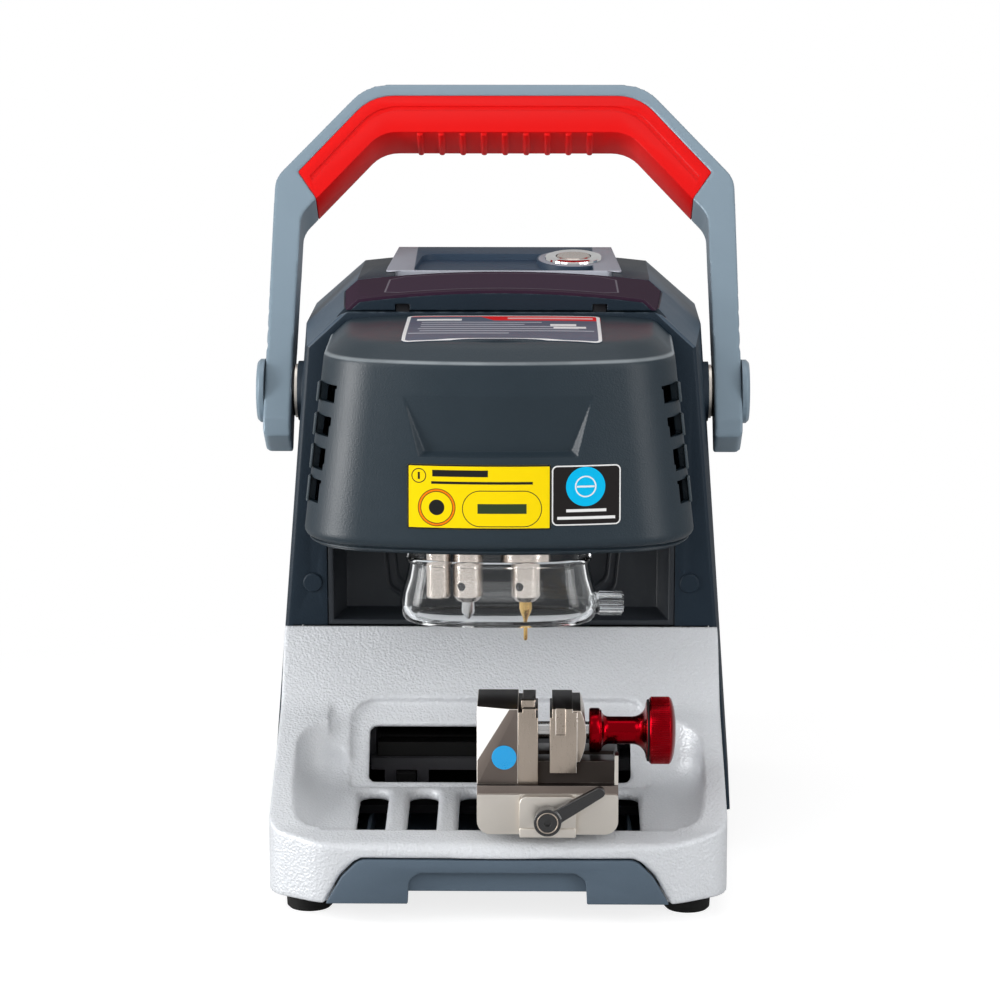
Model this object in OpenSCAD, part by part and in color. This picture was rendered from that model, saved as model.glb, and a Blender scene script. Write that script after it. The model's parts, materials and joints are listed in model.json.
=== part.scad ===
// Automatic key duplicating machine: cast base with a chip tray, a rear housing with a
// tilting screen, a cutting head over a two-jaw clamp, and a carrying handle.
// Front faces -Y, +Z is up, Z = 0 is the bottom of the feet. Millimetres.

/* [Base casting] */
// Width of the cast base
base_w = 210; // [206:1:214]
// Y of the front wall of the base
base_front_y = -150; // [-152:0.5:-149]
// Y where the sloped wall of the tray meets the rear housing
deck_y = -25; // [-26:0.5:-24]
// Height of the joint between the base and the splash recess
deck_z = 112; // [111:0.5:113]
// Height of the underside of the casting
base_bottom_z = 10; // [9:0.5:10.5]
// Wall thickness of the casting
cast_wall = 5; // [4.5:0.25:5.5]
// Height of the front lip of the tray
lip_z = 37.5; // [37:0.25:38]
// Y of the front end of the tray floor
floor_front_y = -133; // [-134:0.5:-132]
// Y where the tray floor meets the sloped wall
floor_rear_y = -78; // [-79:0.5:-77.5]
// Height of the tray floor at its front end
floor_front_z = 38.3; // [38:0.1:38.4]
// Height of the tray floor at its rear end
floor_rear_z = 45.4; // [45:0.1:45.5]
// Half width of the window in the sloped wall
window_half_w = 62; // [60:0.5:64]
// Distance down the slope from the deck joint to the top of the window
window_top_s = 52; // [51:0.5:53]
// Distance down the slope from the deck joint to the bottom of the window
window_bottom_s = 81; // [80:0.5:82]
// Depth of the raised border round the window
pocket_depth = 2.5; // [1.5:0.25:3]
// Margin of that border
pocket_margin = 9; // [7:0.5:10]
// Number of chip slots in the tray floor
slot_count = 6; // [4:1:6]
// Pitch of the chip slots
slot_pitch = 23.4; // [22:0.1:24]
// Width of a chip slot
slot_w = 13.4; // [12:0.2:14]
// Length of a chip slot along the floor
slot_len = 50; // [46:1:50]

/* [Feet and bottom] */
// Radius of a rubber foot
foot_r = 11; // [9:0.5:12]
// X of the feet
foot_x = 87; // [85:0.5:88]
// Thickness of the steel bottom cover
plate_t = 1.6; // [1.2:0.1:2]

/* [Chip drawer] */
// Half width of the drawer front at its lower edge
drawer_low_half_w = 78.5; // [77:0.5:79]
// Half width of the drawer front at its top edge
drawer_top_half_w = 64.5; // [63:0.5:65.5]
// Height of the top of the drawer front
drawer_top_z = 31; // [30.5:0.1:31.2]
// Gap round the drawer front
drawer_gap = 0.6; // [0.5:0.05:0.8]
// Length of the drawer bin
drawer_len = 138; // [120:1:140]
// Travel of the drawer
drawer_travel = 110; // [90:1:115]
// Half width of the finger notch
notch_half_w = 40; // [36:0.5:42]

/* [Rear housing] */
// Y of the rear face of the housing
housing_rear_y = 150; // [148:0.5:151]
// Wall thickness of the housing
housing_wall = 3; // [2.5:0.25:3]
// Height of the lower edge of the side panels
housing_low_z = 20; // [18:0.5:22]
// Height of the shoulder where the top chamfer starts
shoulder_z = 248; // [247:0.5:249]
// Half width at the shoulder, at the front
shoulder_half_w = 92.8; // [92:0.2:93.4]
// Half width at the lower edge, at the front
low_half_w = 112; // [111:0.5:112.5]
// Height of the top edges, beside the screen
eave_z = 270.9; // [270:0.2:271.5]
// Half width at the top edges, at the front
eave_half_w = 68; // [67:0.5:69]
// Rise of the crowned top above its edges
crown = 4.3; // [3.5:0.1:5]
// Half width of the splash recess
recess_half_w = 84; // [82:0.5:85]
// Depth of the splash recess
recess_depth = 30; // [26:1:34]

/* [Cutting head] */
// Height of the lower edge of the head cover
head_bottom_z = 168; // [167:0.5:169]
// Y of the front of the head cover
head_front_y = -132; // [-134:0.5:-130]
// Half width of the head cover at its lower edge
head_low_half_w = 89.5; // [88:0.5:90.5]
// Half width of the head cover at its crease
head_crease_half_w = 80; // [79:0.5:81]
// Height of the crease below the top
head_crease_z = 254; // [253:0.5:255]
// Height of the top of the head cover at its front
head_top_z = 262; // [261:0.5:263]
// Wall thickness of the head cover
head_wall = 3; // [2.5:0.25:3.5]
// Radius of the upright corners of the head cover
head_corner_r = 38; // [34:1:40]
// Forward bulge of the front of the head cover
head_bulge = 7; // [5:0.5:8]
// Depth of the scoop in the front of the head cover
scoop_depth = 4; // [2:0.5:5]
// X of the spindle
spindle_x = 12.3; // [11:0.1:13]
// X of the probe
probe_x = -14.2; // [-15:0.1:-13]
// Y of spindle and probe
tool_y = -95; // [-96:0.5:-94]
// Height of the lower face of both tool holders
holder_z = 139.3; // [138:0.1:141]
// Radius of a tool holder
holder_r = 7; // [6.5:0.1:7.5]
// Radius of a tool shank
shank_r = 3; // [2.5:0.1:3.2]
// Height of the cutter's tip
cutter_tip_z = 120.6; // [119:0.1:122]
// Height of the probe's tip
probe_tip_z = 128; // [127:0.1:129]

/* [Clear guard] */
// Half width of the guard
guard_half_w = 45; // [43:0.5:46]
// Half depth of the guard
guard_half_d = 25; // [24:0.5:26]
// Height of the guard's lower edge
guard_bottom_z = 131; // [130:0.5:132]
// Height of the guard's flange
guard_top_z = 161; // [160:0.5:162]
// Wall thickness of the guard
guard_wall = 2.6; // [2:0.2:3]

/* [Key clamp] */
// X of the left side of the clamp
clamp_x = -9.2; // [-10:0.1:-9]
// Width of the clamp body
clamp_w = 63.6; // [62:0.2:64]
// Y of the front of the clamp body
clamp_front_y = -148; // [-148.5:0.1:-147.8]
// Y of the back of the clamp body
clamp_back_y = -108; // [-109:0.5:-107.5]
// Height of the clamp's lower edge
clamp_low_z = 43; // [42.8:0.1:43.5]
// Height of the slab that the jaws stand on
slab_z = 65; // [64.5:0.1:65.5]
// Height of the top of the jaws
jaw_top_z = 100; // [99:0.2:101]
// X of the fixed jaw's face
jaw_face_x = 18.2; // [18:0.1:18.5]
// Gap between the jaws at rest
jaw_gap = 5.4; // [5:0.1:6]
// Radius of the clamp screw
clamp_screw_r = 4; // [3.5:0.1:4.2]
// Height of the clamp screw
clamp_screw_z = 85.6; // [85:0.1:86]
// Y of the clamp screw
clamp_screw_y = -125; // [-126:0.5:-124]
// Radius of the knurled head of the knob
knob_r = 15.3; // [14:0.1:16]
// Pivot height of the locking lever
lever_z = 51.6; // [51:0.1:52]
// Length of the locking lever between its centres
lever_len = 27; // [24:0.5:28]
// Resting angle of the locking lever
lever_rise = 30.7; // [25:0.1:35]

/* [Handle] */
// Y of the handle pivots
pivot_y = 55; // [53:0.5:57]
// Height of the handle pivots
pivot_z = 215; // [213:0.5:217]
// Angle of the handle behind the vertical
handle_lean = 33; // [30:0.5:36]
// Half width over the arms
handle_half_w = 119.5; // [119:0.1:121]
// Width of an arm
arm_w = 14; // [13:0.1:14.2]
// Depth of the handle
arm_d = 24; // [20:0.5:26]
// Height of the handle above its pivots
handle_h = 170; // [165:1:172]
// Distance of the lower bend above the pivots
bend_h = 115; // [112:1:117]
// Half width of the straight top
top_half_w = 68; // [64:1:72]
// Height of the bar
bar_h = 28; // [26:0.5:30]

/* [Screen and power button] */
// Y of the rear edge of the screen
screen_rear_y = 56; // [54:0.5:58]
// Thickness of the screen module
screen_t = 9; // [8:0.25:10]
// Thickness of the screen's glass
glass_t = 1.6; // [1.2:0.1:2]
// X of the power button
button_x = 35.5; // [34:0.5:37]
// Y of the power button
button_y = 104; // [102:0.5:106]
// Radius of the button's bezel
bezel_r = 14.8; // [13:0.2:15]
// Radius of the button
button_r = 8.7; // [8:0.1:9.2]
// Rise of the rear top cover's surface, as an angle
hump_tilt = 7.2; // [6:0.2:8]

/* [Machine frame] */
// Height of the deck that carries the table
table_z = 36; // [35.8:0.1:36.2]
// Travel of the table from front to back
y_travel = 34; // [30:1:34]
// Width of a stepper motor
motor_w = 35; // [33:0.5:35]
// Running gap of a screw in its bore
screw_gap = 0.05; // [0.02:0.01:0.09]
// Gap between parts that move past each other
move_gap = 0.4; // [0.35:0.05:0.5]

/* [Hidden] */
$fn = 48;
eps = 0.01;

slope_a = atan2(deck_z - floor_rear_z, deck_y - floor_rear_y);
floor_a = atan2(floor_rear_z - floor_front_z, floor_rear_y - floor_front_y);
half_base = base_w / 2;
chassis_half_w = low_half_w - 12.5;
tray_half_w = half_base - 10.5;
motor_side_x = half_base - 41;
x_motor_len = 26;
slot_y = (floor_front_y + floor_rear_y) / 2;
drawer_floor_z = base_bottom_z + 5.6;
runner_z = drawer_floor_z - 0.3;
rim_y = -52;
rim_z = deck_z - (deck_y - rim_y) * tan(slope_a);
front_t = 4.3;
panel_y = deck_y + recess_depth;
moving_face_x = jaw_face_x + jaw_gap;
knob_x = moving_face_x + 17.8;
clamp_mid_x = clamp_x + 31.8;
y_screw_z = 42;
x_screw_y = -24;
x_screw_z = 56.5;
arm_half_w = 15;
rail_h = 10;
plate_y_t = 5.6;
bar_inner_h = handle_h - bar_h;
arm_low = 28.5;
strip_t = 6.5;
pivot_r = 5;
boss_x = handle_half_w - arm_w - 2.6;
ring_t = 1.4;
hump_half_w = 60;
hump_front_y = 74;
hump_rear_y = 147;
hump_front_z = eave_z + crown - 2.2;
bay_z = eave_z + crown - screen_t - 1.4;
hinge_y = deck_y + 6;
hinge_z = bay_z + 3.4;
hinge_r = 1.5;
plate_top_z = base_bottom_z + plate_t;
chassis_rear_y = housing_rear_y - 8;
runner_x = 64.5;
bin_half_w = 62;
bin_flange = 6;
front_foot_y = base_front_y + 32;
rear_foot_y = housing_rear_y - 24;
foot_screw_r = 2.2;
column_y = 42;
column_d = 33;
beam_z = 18;
cap_x = 91;
cap_z = 133;
inlet_x = -58;
inlet_z = 70;
switch_x = -15;
rocker_a = 14;
rocker_half_w = 10;
vent_x = 80.6;
vent_z = 233;
post_x = -27.9;
guard_tab_x = 58;
quill_r = 11.5;
quill_z = 158;
spindle_shaft_r = 5;
head_edge_r = 5;
head_rake = 6.3;
head_loft_y = deck_y + 60;
scoop_half_w = 36;
scoop_low_z = head_crease_z - 41;
scoop_top_z = head_crease_z - 14;
screw_turn = -25;
head_base_z = 186;
rail_face_y = -28;
z_motor_z = 238;
z_screw_y = rail_face_y - 4.5;
carriage_low_z = 200;
carriage_h = 28;
y_rail_x = motor_side_x - 19;
table_side_x = y_rail_x + 17;
x_rail_z = table_z + rail_h + move_gap + plate_y_t;
arm_top_z = x_rail_z + 7 + move_gap + 5.6;
slab_front_y = -140.6;
slab_top_z = slab_z + 10;
jaw_front_y = clamp_front_y + 4;
jaw_w = 8.9;
jaw_x0 = jaw_face_x - jaw_w;
jaw_x1 = jaw_face_x;
keel_y = clamp_screw_y;
plate_x0 = clamp_mid_x - 12.6;
plate_x1 = clamp_mid_x + 12.8;
knob_collar_r = 10.2;
bevel_w = 14.8;
bevel_h = 24.3;
bevel_d = 5;
lever_hub_r = 6.2;
lever_bolt_r = 3;

function unit(v) = v / norm(v);
// Points of a round corner of radius r at p, between its neighbours a and b.
function corner(a, p, b, r, n) = r <= 0 ? [p] :
    let (u = unit(a - p), v = unit(b - p), half = acos(u * v) / 2)
    let (c = p + unit(u + v) * r / sin(half), s = p + u * r / tan(half), e = p + v * r / tan(half))
    [for (i = [0 : n]) c + unit(s + (e - s) * i / n - c) * r];
// Outline with its corners rounded; r is one radius or a list with one for each corner.
function rounded(pts, r, n = 5) = let (m = len(pts))
    [for (i = [0 : m - 1])
        each corner(pts[(i + m - 1) % m], pts[i], pts[(i + 1) % m], is_list(r) ? r[i] : r, n)];
function box_pts(x0, y0, x1, y1) = [[x0, y0], [x1, y0], [x1, y1], [x0, y1]];
function mirrored(pts) = concat(pts, [for (i = [len(pts) - 1 : -1 : 0]) [-pts[i][0], pts[i][1]]]);
function floor_at(y) = floor_front_z + (y - floor_front_y) * tan(floor_a);

// Extrudes a (Y, Z) outline along X, centred.
module along_x(w) {
    translate([-w / 2, 0, 0]) rotate([90, 0, 90]) linear_extrude(w) children();
}
// Extrudes an (X, Z) outline from y0 to y1.
module along_y(y0, y1) {
    translate([0, y1, 0]) rotate([90, 0, 0]) linear_extrude(y1 - y0) children();
}
// Extrudes an (X, Y) outline from z0 to z1.
module along_z(z0, z1) {
    translate([0, 0, z0]) linear_extrude(z1 - z0) children();
}
module block(x0, x1, y0, y1, z0, z1) {
    translate([x0, y0, z0]) cube([x1 - x0, y1 - y0, z1 - z0]);
}
module rod_x(x0, x1, y, z, r) {
    translate([x0, y, z]) rotate([0, 90, 0]) cylinder(h = x1 - x0, r = r);
}
module rod_y(x, y0, y1, z, r) {
    translate([x, y1, z]) rotate([90, 0, 0]) cylinder(h = y1 - y0, r = r);
}
module rod_z(x, y, z0, z1, r) {
    translate([x, y, z0]) cylinder(h = z1 - z0, r = r);
}
module both_sides() {
    children();
    mirror([1, 0, 0]) children();
}
// Frame of the sloped wall: x across, y up the slope from the deck joint, z out of the wall.
module on_slope() {
    translate([0, deck_y, deck_z]) rotate([slope_a, 0, 0]) children();
}
// Frame of the tray floor: x across, y to the rear along the floor, z out of the floor.
module on_floor() {
    translate([0, slot_y, floor_at(slot_y)]) rotate([floor_a, 0, 0]) children();
}

// ---- base ----
module base_plan() {
    polygon(rounded([[-half_base, deck_y], [-half_base, base_front_y + 18], [-80, base_front_y + 2],
        [0, base_front_y], [80, base_front_y + 2], [half_base, base_front_y + 18],
        [half_base, deck_y]], [0, 16, 24, 300, 24, 16, 0]));
}
module base_side() {
    polygon(rounded([[base_front_y, base_bottom_z], [base_front_y, lip_z], [floor_front_y, lip_z + 3.5],
        [rim_y, rim_z], [deck_y, deck_z], [deck_y, base_bottom_z]], [3, 7, 30, 24, 0, 0]));
}
module drawer_outline(grow) {
    w0 = drawer_low_half_w + grow;
    w1 = drawer_top_half_w + grow;
    top = drawer_top_z + grow;
    polygon(rounded([[-w0, base_bottom_z - 1], [-w1 - 6, top - 8], [-w1 + 2, top],
        [w1 - 2, top], [w1 + 6, top - 8], [w0, base_bottom_z - 1]], [0, 10, 8, 8, 10, 0]));
}
// One side bowl of the tray, beside the slots.
module side_bowl(r) {
    hull() {
        translate([half_base - 10 - r, floor_front_y + r * 0.7, floor_front_z + r]) sphere(r, $fn = 32);
        translate([half_base - 10 - r, floor_rear_y - 2, floor_rear_z + r]) sphere(r, $fn = 32);
        translate([60, floor_rear_y - 10, floor_rear_z + r]) sphere(r, $fn = 32);
        translate([60, floor_front_y + r * 0.7, floor_front_z + r]) sphere(r, $fn = 32);
        translate([half_base - 10 - r, floor_rear_y + 6, rim_z + r]) sphere(r, $fn = 32);
        translate([60, floor_front_y, rim_z + 2 * r]) sphere(r, $fn = 32);
    }
}
module tray_cut() {
    low = [floor_front_y, floor_front_z];
    rear = [floor_rear_y, floor_rear_z];
    along_x(2 * (half_base - 24))
        polygon(rounded([low, rear, [deck_y - 16, deck_z - 16 * tan(slope_a)], [floor_front_y, deck_z]],
            [0, 6, 0, 0]));
    both_sides() side_bowl(15);
}
module window_cut() {
    mid = -(window_top_s + window_bottom_s) / 2;
    len = window_bottom_s - window_top_s;
    on_slope() {
        translate([0, 0, -4 * cast_wall]) linear_extrude(8 * cast_wall)
            polygon(rounded(box_pts(-window_half_w, mid - len / 2, window_half_w, mid + len / 2), 3));
        translate([0, 0, -pocket_depth]) linear_extrude(20)
            polygon(rounded(box_pts(-window_half_w - pocket_margin, mid - len / 2 - 4,
                window_half_w + pocket_margin, mid + len / 2 + pocket_margin + 4), [2, 2, 12, 12]));
    }
}
module chip_slots() {
    for (i = [0 : slot_count - 1])
        translate([(i - (slot_count - 1) / 2) * slot_pitch, 0, 0]) on_floor()
            translate([0, 0, -15]) linear_extrude(25)
                polygon(rounded(box_pts(-slot_w / 2, -slot_len / 2, slot_w / 2, slot_len / 2), 5.5));
}
// Room under the tray and behind the sloped wall.
module base_inside() {
    inner = half_base - cast_wall;
    drop = cast_wall / cos(slope_a);
    along_x(2 * inner)
        polygon([[base_front_y + 6, base_bottom_z - 1], [base_front_y + 6, floor_front_z - 6.5],
            [floor_front_y, floor_front_z - cast_wall], [floor_rear_y + 3, floor_rear_z - cast_wall],
            [deck_y + 1, deck_z - drop + tan(slope_a)], [deck_y + 1, base_bottom_z - 1]]);
}
// Plan of the front casting, set in by t.
module inner_plan(t) {
    polygon(rounded([[-half_base + t, deck_y + 2], [-half_base + t, base_front_y + 18 + t * 0.4],
        [-80 + t * 0.4, base_front_y + 2 + t], [80 - t * 0.4, base_front_y + 2 + t],
        [half_base - t, base_front_y + 18 + t * 0.4], [half_base - t, deck_y + 2]], [0, 11, 19, 19, 11, 0]));
}
// Runners that the drawer's flanges slide on, from y0 to y1.
module runners(y0, y1) {
    both_sides() block(runner_x, half_base, y0, y1, base_bottom_z, runner_z);
}
module base_casting() color("silver") {
    difference() {
        union() {
            difference() {
                intersection() {
                    along_x(base_w) base_side();
                    along_z(0, deck_z + 5) base_plan();
                }
                intersection() {
                    base_inside();
                    along_z(0, deck_z) inner_plan(cast_wall);
                }
            }
            intersection() {
                runners(base_front_y + 5, deck_y);
                along_z(0, deck_z) base_plan();
            }
            both_sides() {
                // flange that the frame is bolted to
                block(tray_half_w, half_base, deck_y - 6, deck_y, base_bottom_z, deck_z - 12);
                rod_z(foot_x, front_foot_y, base_bottom_z, floor_front_z - 4, 8);
            }
        }
        tray_cut();
        window_cut();
        chip_slots();
        along_y(base_front_y - 1, base_front_y + 7) drawer_outline(drawer_gap);
        both_sides() rod_z(foot_x, front_foot_y, base_bottom_z - 1, base_bottom_z + 12, foot_screw_r);
    }
}
// Side walls, rear wall, table deck and beam behind the front casting.
module base_frame() color("silver") {
    difference() {
        union() {
            both_sides() {
                block(chassis_half_w - cast_wall, chassis_half_w + 1, deck_y, chassis_rear_y,
                    base_bottom_z, deck_z - 30);
                block(runner_x, chassis_half_w, deck_y, 12, base_bottom_z, runner_z);
                rod_z(foot_x, rear_foot_y, plate_top_z, table_z, 8);
            }
            block(-chassis_half_w, chassis_half_w, chassis_rear_y - cast_wall, chassis_rear_y, plate_top_z, 60);
            block(-chassis_half_w, chassis_half_w, column_y - 2, column_y + column_d, plate_top_z, beam_z);
            block(-tray_half_w, tray_half_w, floor_rear_y + 2, deck_y + 1, table_z - 4, table_z);
            block(-chassis_half_w + cast_wall, chassis_half_w - cast_wall, deck_y, column_y - 2,
                table_z - 4, table_z);
        }
        both_sides() rod_z(foot_x, rear_foot_y, base_bottom_z - 1, base_bottom_z + 14, foot_screw_r);
        // room for the end of the X motor
        block(-motor_side_x - x_motor_len - 3, -motor_side_x - 4, x_screw_y - motor_w / 2 - 1,
            x_screw_y + motor_w / 2 + 1, x_screw_z - motor_w / 2 - 1, x_screw_z + motor_w / 2 + 1);
    }
}
module base_plate() color("darkgray") {
    difference() {
        block(-chassis_half_w + cast_wall + 0.3, chassis_half_w - cast_wall - 0.3, 14, chassis_rear_y,
            base_bottom_z, plate_top_z);
        both_sides() rod_z(foot_x, rear_foot_y, base_bottom_z - 1, plate_top_z + 1, foot_screw_r + 0.2);
        for (i = [-3 : 3]) block(i * 12 - 2, i * 12 + 2, 90, 125, base_bottom_z - 1, plate_top_z + 1);
    }
}
module feet() color("black") {
    for (x = [-foot_x, foot_x], y = [front_foot_y, rear_foot_y])
        translate([x, y, 0]) rotate_extrude() polygon(
            [[foot_screw_r + 0.2, 3], [foot_screw_r + 3, 3], [foot_screw_r + 3, 0], [foot_r - 1.5, 0],
             [foot_r - 0.5, 1], [foot_r, base_bottom_z], [foot_screw_r + 0.2, base_bottom_z]]);
}
module foot_screws() color("gray") {
    for (x = [-foot_x, foot_x], y = [front_foot_y, rear_foot_y])
        translate([x, y, 0]) rotate_extrude() polygon(
            [[0, 1], [foot_screw_r + 2.4, 1], [foot_screw_r + 2.4, 3], [foot_screw_r - 0.2, 3],
             [foot_screw_r - 0.2, base_bottom_z + 10], [0, base_bottom_z + 10]]);
}

// ---- chip drawer ----
module drawer_front() color("slategray") {
    notch_z = drawer_top_z - 6;
    difference() {
        along_y(base_front_y + 0.3, base_front_y + front_t) difference() {
            drawer_outline(0);
            translate([-base_w, 0]) square([2 * base_w, base_bottom_z + 0.6]);
        }
        along_y(base_front_y - 1, base_front_y + front_t + 1) polygon(rounded(
            [[-notch_half_w - 1, 0], [-notch_half_w, notch_z - 3], [-notch_half_w + 5, notch_z],
             [notch_half_w - 5, notch_z], [notch_half_w, notch_z - 3], [notch_half_w + 1, 0]],
            [0, 5, 3, 3, 5, 0]));
    }
}
module drawer_bin() color("dimgray") {
    y0 = base_front_y + front_t;
    top = drawer_top_z - 2;
    wall = 1.6;
    difference() {
        union() {
            block(-bin_half_w, bin_half_w, y0, y0 + drawer_len, drawer_floor_z, top);
            // flanges that ride on the runners
            block(-bin_half_w - bin_flange, bin_half_w + bin_flange, y0 + 4, y0 + drawer_len,
                drawer_floor_z, drawer_floor_z + wall);
        }
        block(-bin_half_w + wall, bin_half_w - wall, y0 + wall, y0 + drawer_len - wall,
            drawer_floor_z + wall, top + 1);
    }
}

// ---- rear housing ----
// Extra half width of the housing at y: it widens up to the rear of the screen.
function flare(y, rate) = min(y - deck_y, 90) * rate + max(y - deck_y - 90, 0) * 0.01;
function crown_pts(w, z, n = 6) = let (r = (w * w + crown * crown) / (2 * crown), a = asin(w / r))
    [for (i = [0 : n]) [r * sin(a * (1 - i / n)), z + crown - r + r * cos(a * (1 - i / n))]];
// Section of the housing at y, set in by t.
function housing_pts(y, t, low_z) = mirrored(concat(
    [[low_half_w + flare(y, 0.045) - t, low_z], [shoulder_half_w + flare(y, 0.0744) - t, shoulder_z - t * 0.4]],
    [for (p = crown_pts(eave_half_w + flare(y, 0.059) - t * 0.4, eave_z)) [p[0], p[1] - t]]));
module housing_slab(y, t, low_z) {
    along_y(y, y + 0.01) polygon(housing_pts(y, t, low_z));
}
module housing_form(t, y0, y1, low_z, edge = 0) {
    hull() {
        housing_slab(y0, t + edge, low_z);
        if (edge > 0) housing_slab(y0 + edge, t, low_z);
        housing_slab(65, t, low_z);
        housing_slab(y1 - 0.01, t, low_z);
    }
}
module pivot_place() {
    translate([0, pivot_y, pivot_z]) children();
}
module rear_housing() color("darkslategray") {
    roof_z = eave_z + crown;
    difference() {
        union() {
            difference() {
                housing_form(0, deck_y, housing_rear_y, housing_low_z, 1.2);
                housing_form(housing_wall, deck_y + housing_wall, housing_rear_y + 2, housing_low_z - 5);
            }
            // floor of the screen bay and of the finger channel behind it
            intersection() {
                housing_form(1, deck_y + 1, housing_rear_y - 1, housing_low_z);
                block(-90, 90, deck_y + 1, hump_front_y + 1, bay_z - 4.5, bay_z);
            }
            pivot_place() both_sides() rod_x(shoulder_half_w - 0.8, boss_x, 0, 0, 15);
        }
        // screen bay with a round trough that the front edge of the screen turns in
        block(-90, 90, deck_y - 1, screen_rear_y + 0.6, bay_z, roof_z + 5);
        rod_x(-90, 90, hinge_y, hinge_z, 6.9);
        block(-55, 55, screen_rear_y, hump_front_y + 3, bay_z, roof_z + 5);
        // opening for the rear top cover
        along_z(bay_z - 8, roof_z + 5) hump_plan(2);
        // room for the base below the deck joint, the splash recess and the cutting head
        block(-chassis_half_w - 1.4, chassis_half_w + 1.4, deck_y - 1, deck_y + 4, 0, deck_z);
        block(-recess_half_w, recess_half_w, deck_y - 1, deck_y + 4, deck_z - 1, head_bottom_z + 8);
        block(-76, 76, deck_y - 1, deck_y + 4, head_bottom_z + 7, head_top_z - 5);
        pivot_place() both_sides() rod_x(shoulder_half_w - 2.8, boss_x + 17.1, 0, 0, pivot_r + screw_gap);
        both_sides() rod_y(cap_x, deck_y - 1, deck_y + 6, cap_z, 2);
    }
}
module splash_panel() color("darkslategray") {
    side = 2.5;
    low = deck_z + 0.2;
    difference() {
        along_z(low, head_bottom_z + 8) polygon([[-recess_half_w + 0.3, deck_y + 0.2],
            [-recess_half_w + 5, panel_y + side], [recess_half_w - 5, panel_y + side],
            [recess_half_w - 0.3, deck_y + 0.2]]);
        along_z(low + side, head_bottom_z + 9) polygon([[-recess_half_w + side + 0.3, deck_y - 1],
            [-recess_half_w + side + 5, panel_y], [recess_half_w - side - 5, panel_y],
            [recess_half_w - side - 0.3, deck_y - 1]]);
        for (d = [0, 4]) splash_groove(d);
    }
}
// One line of the double groove pressed into the splash panel.
module splash_groove(d) {
    module line(t) {
        polygon(rounded([[-62 + d + t, head_bottom_z + 20], [-56 + d + t, deck_z + 12 + d + t],
            [-48 + d + t, deck_z + 7 + d + t], [48 - d - t, deck_z + 7 + d + t],
            [56 - d - t, deck_z + 12 + d + t], [62 - d - t, head_bottom_z + 20]], [0, 6, 6, 6, 6, 0]));
    }
    along_y(panel_y - 1, panel_y + 0.8) difference() {
        line(0);
        line(1.2);
    }
}
module screw_caps() color("black") {
    both_sides() translate([cap_x, deck_y, cap_z]) rotate([90, 0, 0]) rotate_extrude()
        polygon([[0, -5], [1.8, -5], [1.8, 0], [4.7, 0], [4.7, 0.5], [4.2, 0.9], [0, 0.9]]);
}
module rear_panel() color("dimgray") {
    y0 = housing_rear_y - 3.2;
    difference() {
        along_y(y0, y0 + 2.4) intersection() {
            polygon(housing_pts(y0, housing_wall + 0.4, housing_low_z - 5));
            translate([-base_w, housing_low_z + 2]) square([2 * base_w, 300]);
        }
        block(inlet_x - 14.2, inlet_x + 14.2, y0 - 1, y0 + 4, inlet_z - 10.2, inlet_z + 10.2);
        block(switch_x - rocker_half_w - 0.6, switch_x + rocker_half_w + 0.6, y0 - 1, y0 + 4,
            inlet_z - 7.5, inlet_z + 7.5);
        for (i = [0 : 6], side = [-1, 1])
            block(side * 45 - 24, side * 45 + 24, y0 - 1, y0 + 4, 150 + i * 9, 153.5 + i * 9);
    }
}
module power_inlet() color("black") {
    y0 = housing_rear_y - 0.8;
    difference() {
        union() {
            block(inlet_x - 13.9, inlet_x + 13.9, y0 - 22, y0, inlet_z - 9.9, inlet_z + 9.9);
            along_y(y0, y0 + 2.5) polygon(rounded(box_pts(inlet_x - 25, inlet_z - 12, inlet_x + 25, inlet_z + 12), 3));
        }
        along_y(y0 - 16, y0 + 3) polygon(rounded([[inlet_x - 12, inlet_z - 8], [inlet_x + 12, inlet_z - 8],
            [inlet_x + 12, inlet_z + 4], [inlet_x + 7, inlet_z + 8], [inlet_x - 7, inlet_z + 8],
            [inlet_x - 12, inlet_z + 4]], 1));
    }
    for (x = [-7, 0, 7]) block(inlet_x + x - 1, inlet_x + x + 1, y0 - 16.5, y0 - 2, inlet_z - 2, inlet_z + 2);
}
module rocker_switch() color("black") {
    translate([switch_x, housing_rear_y - 3, inlet_z]) rotate([rocker_a / 2, 0, 0]) {
        rod_x(-rocker_half_w - 0.2, rocker_half_w + 0.2, 0, 0, 1.2);
        along_x(2 * rocker_half_w) polygon(rounded([[-9, -4], [2.6, -6.6], [3.6, -6.2], [2.4, 0],
            [3.6, 6.2], [2.6, 6.6], [-9, 4]], [1, 0.5, 0.5, 5, 0.5, 0.5, 1]));
    }
}

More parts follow.
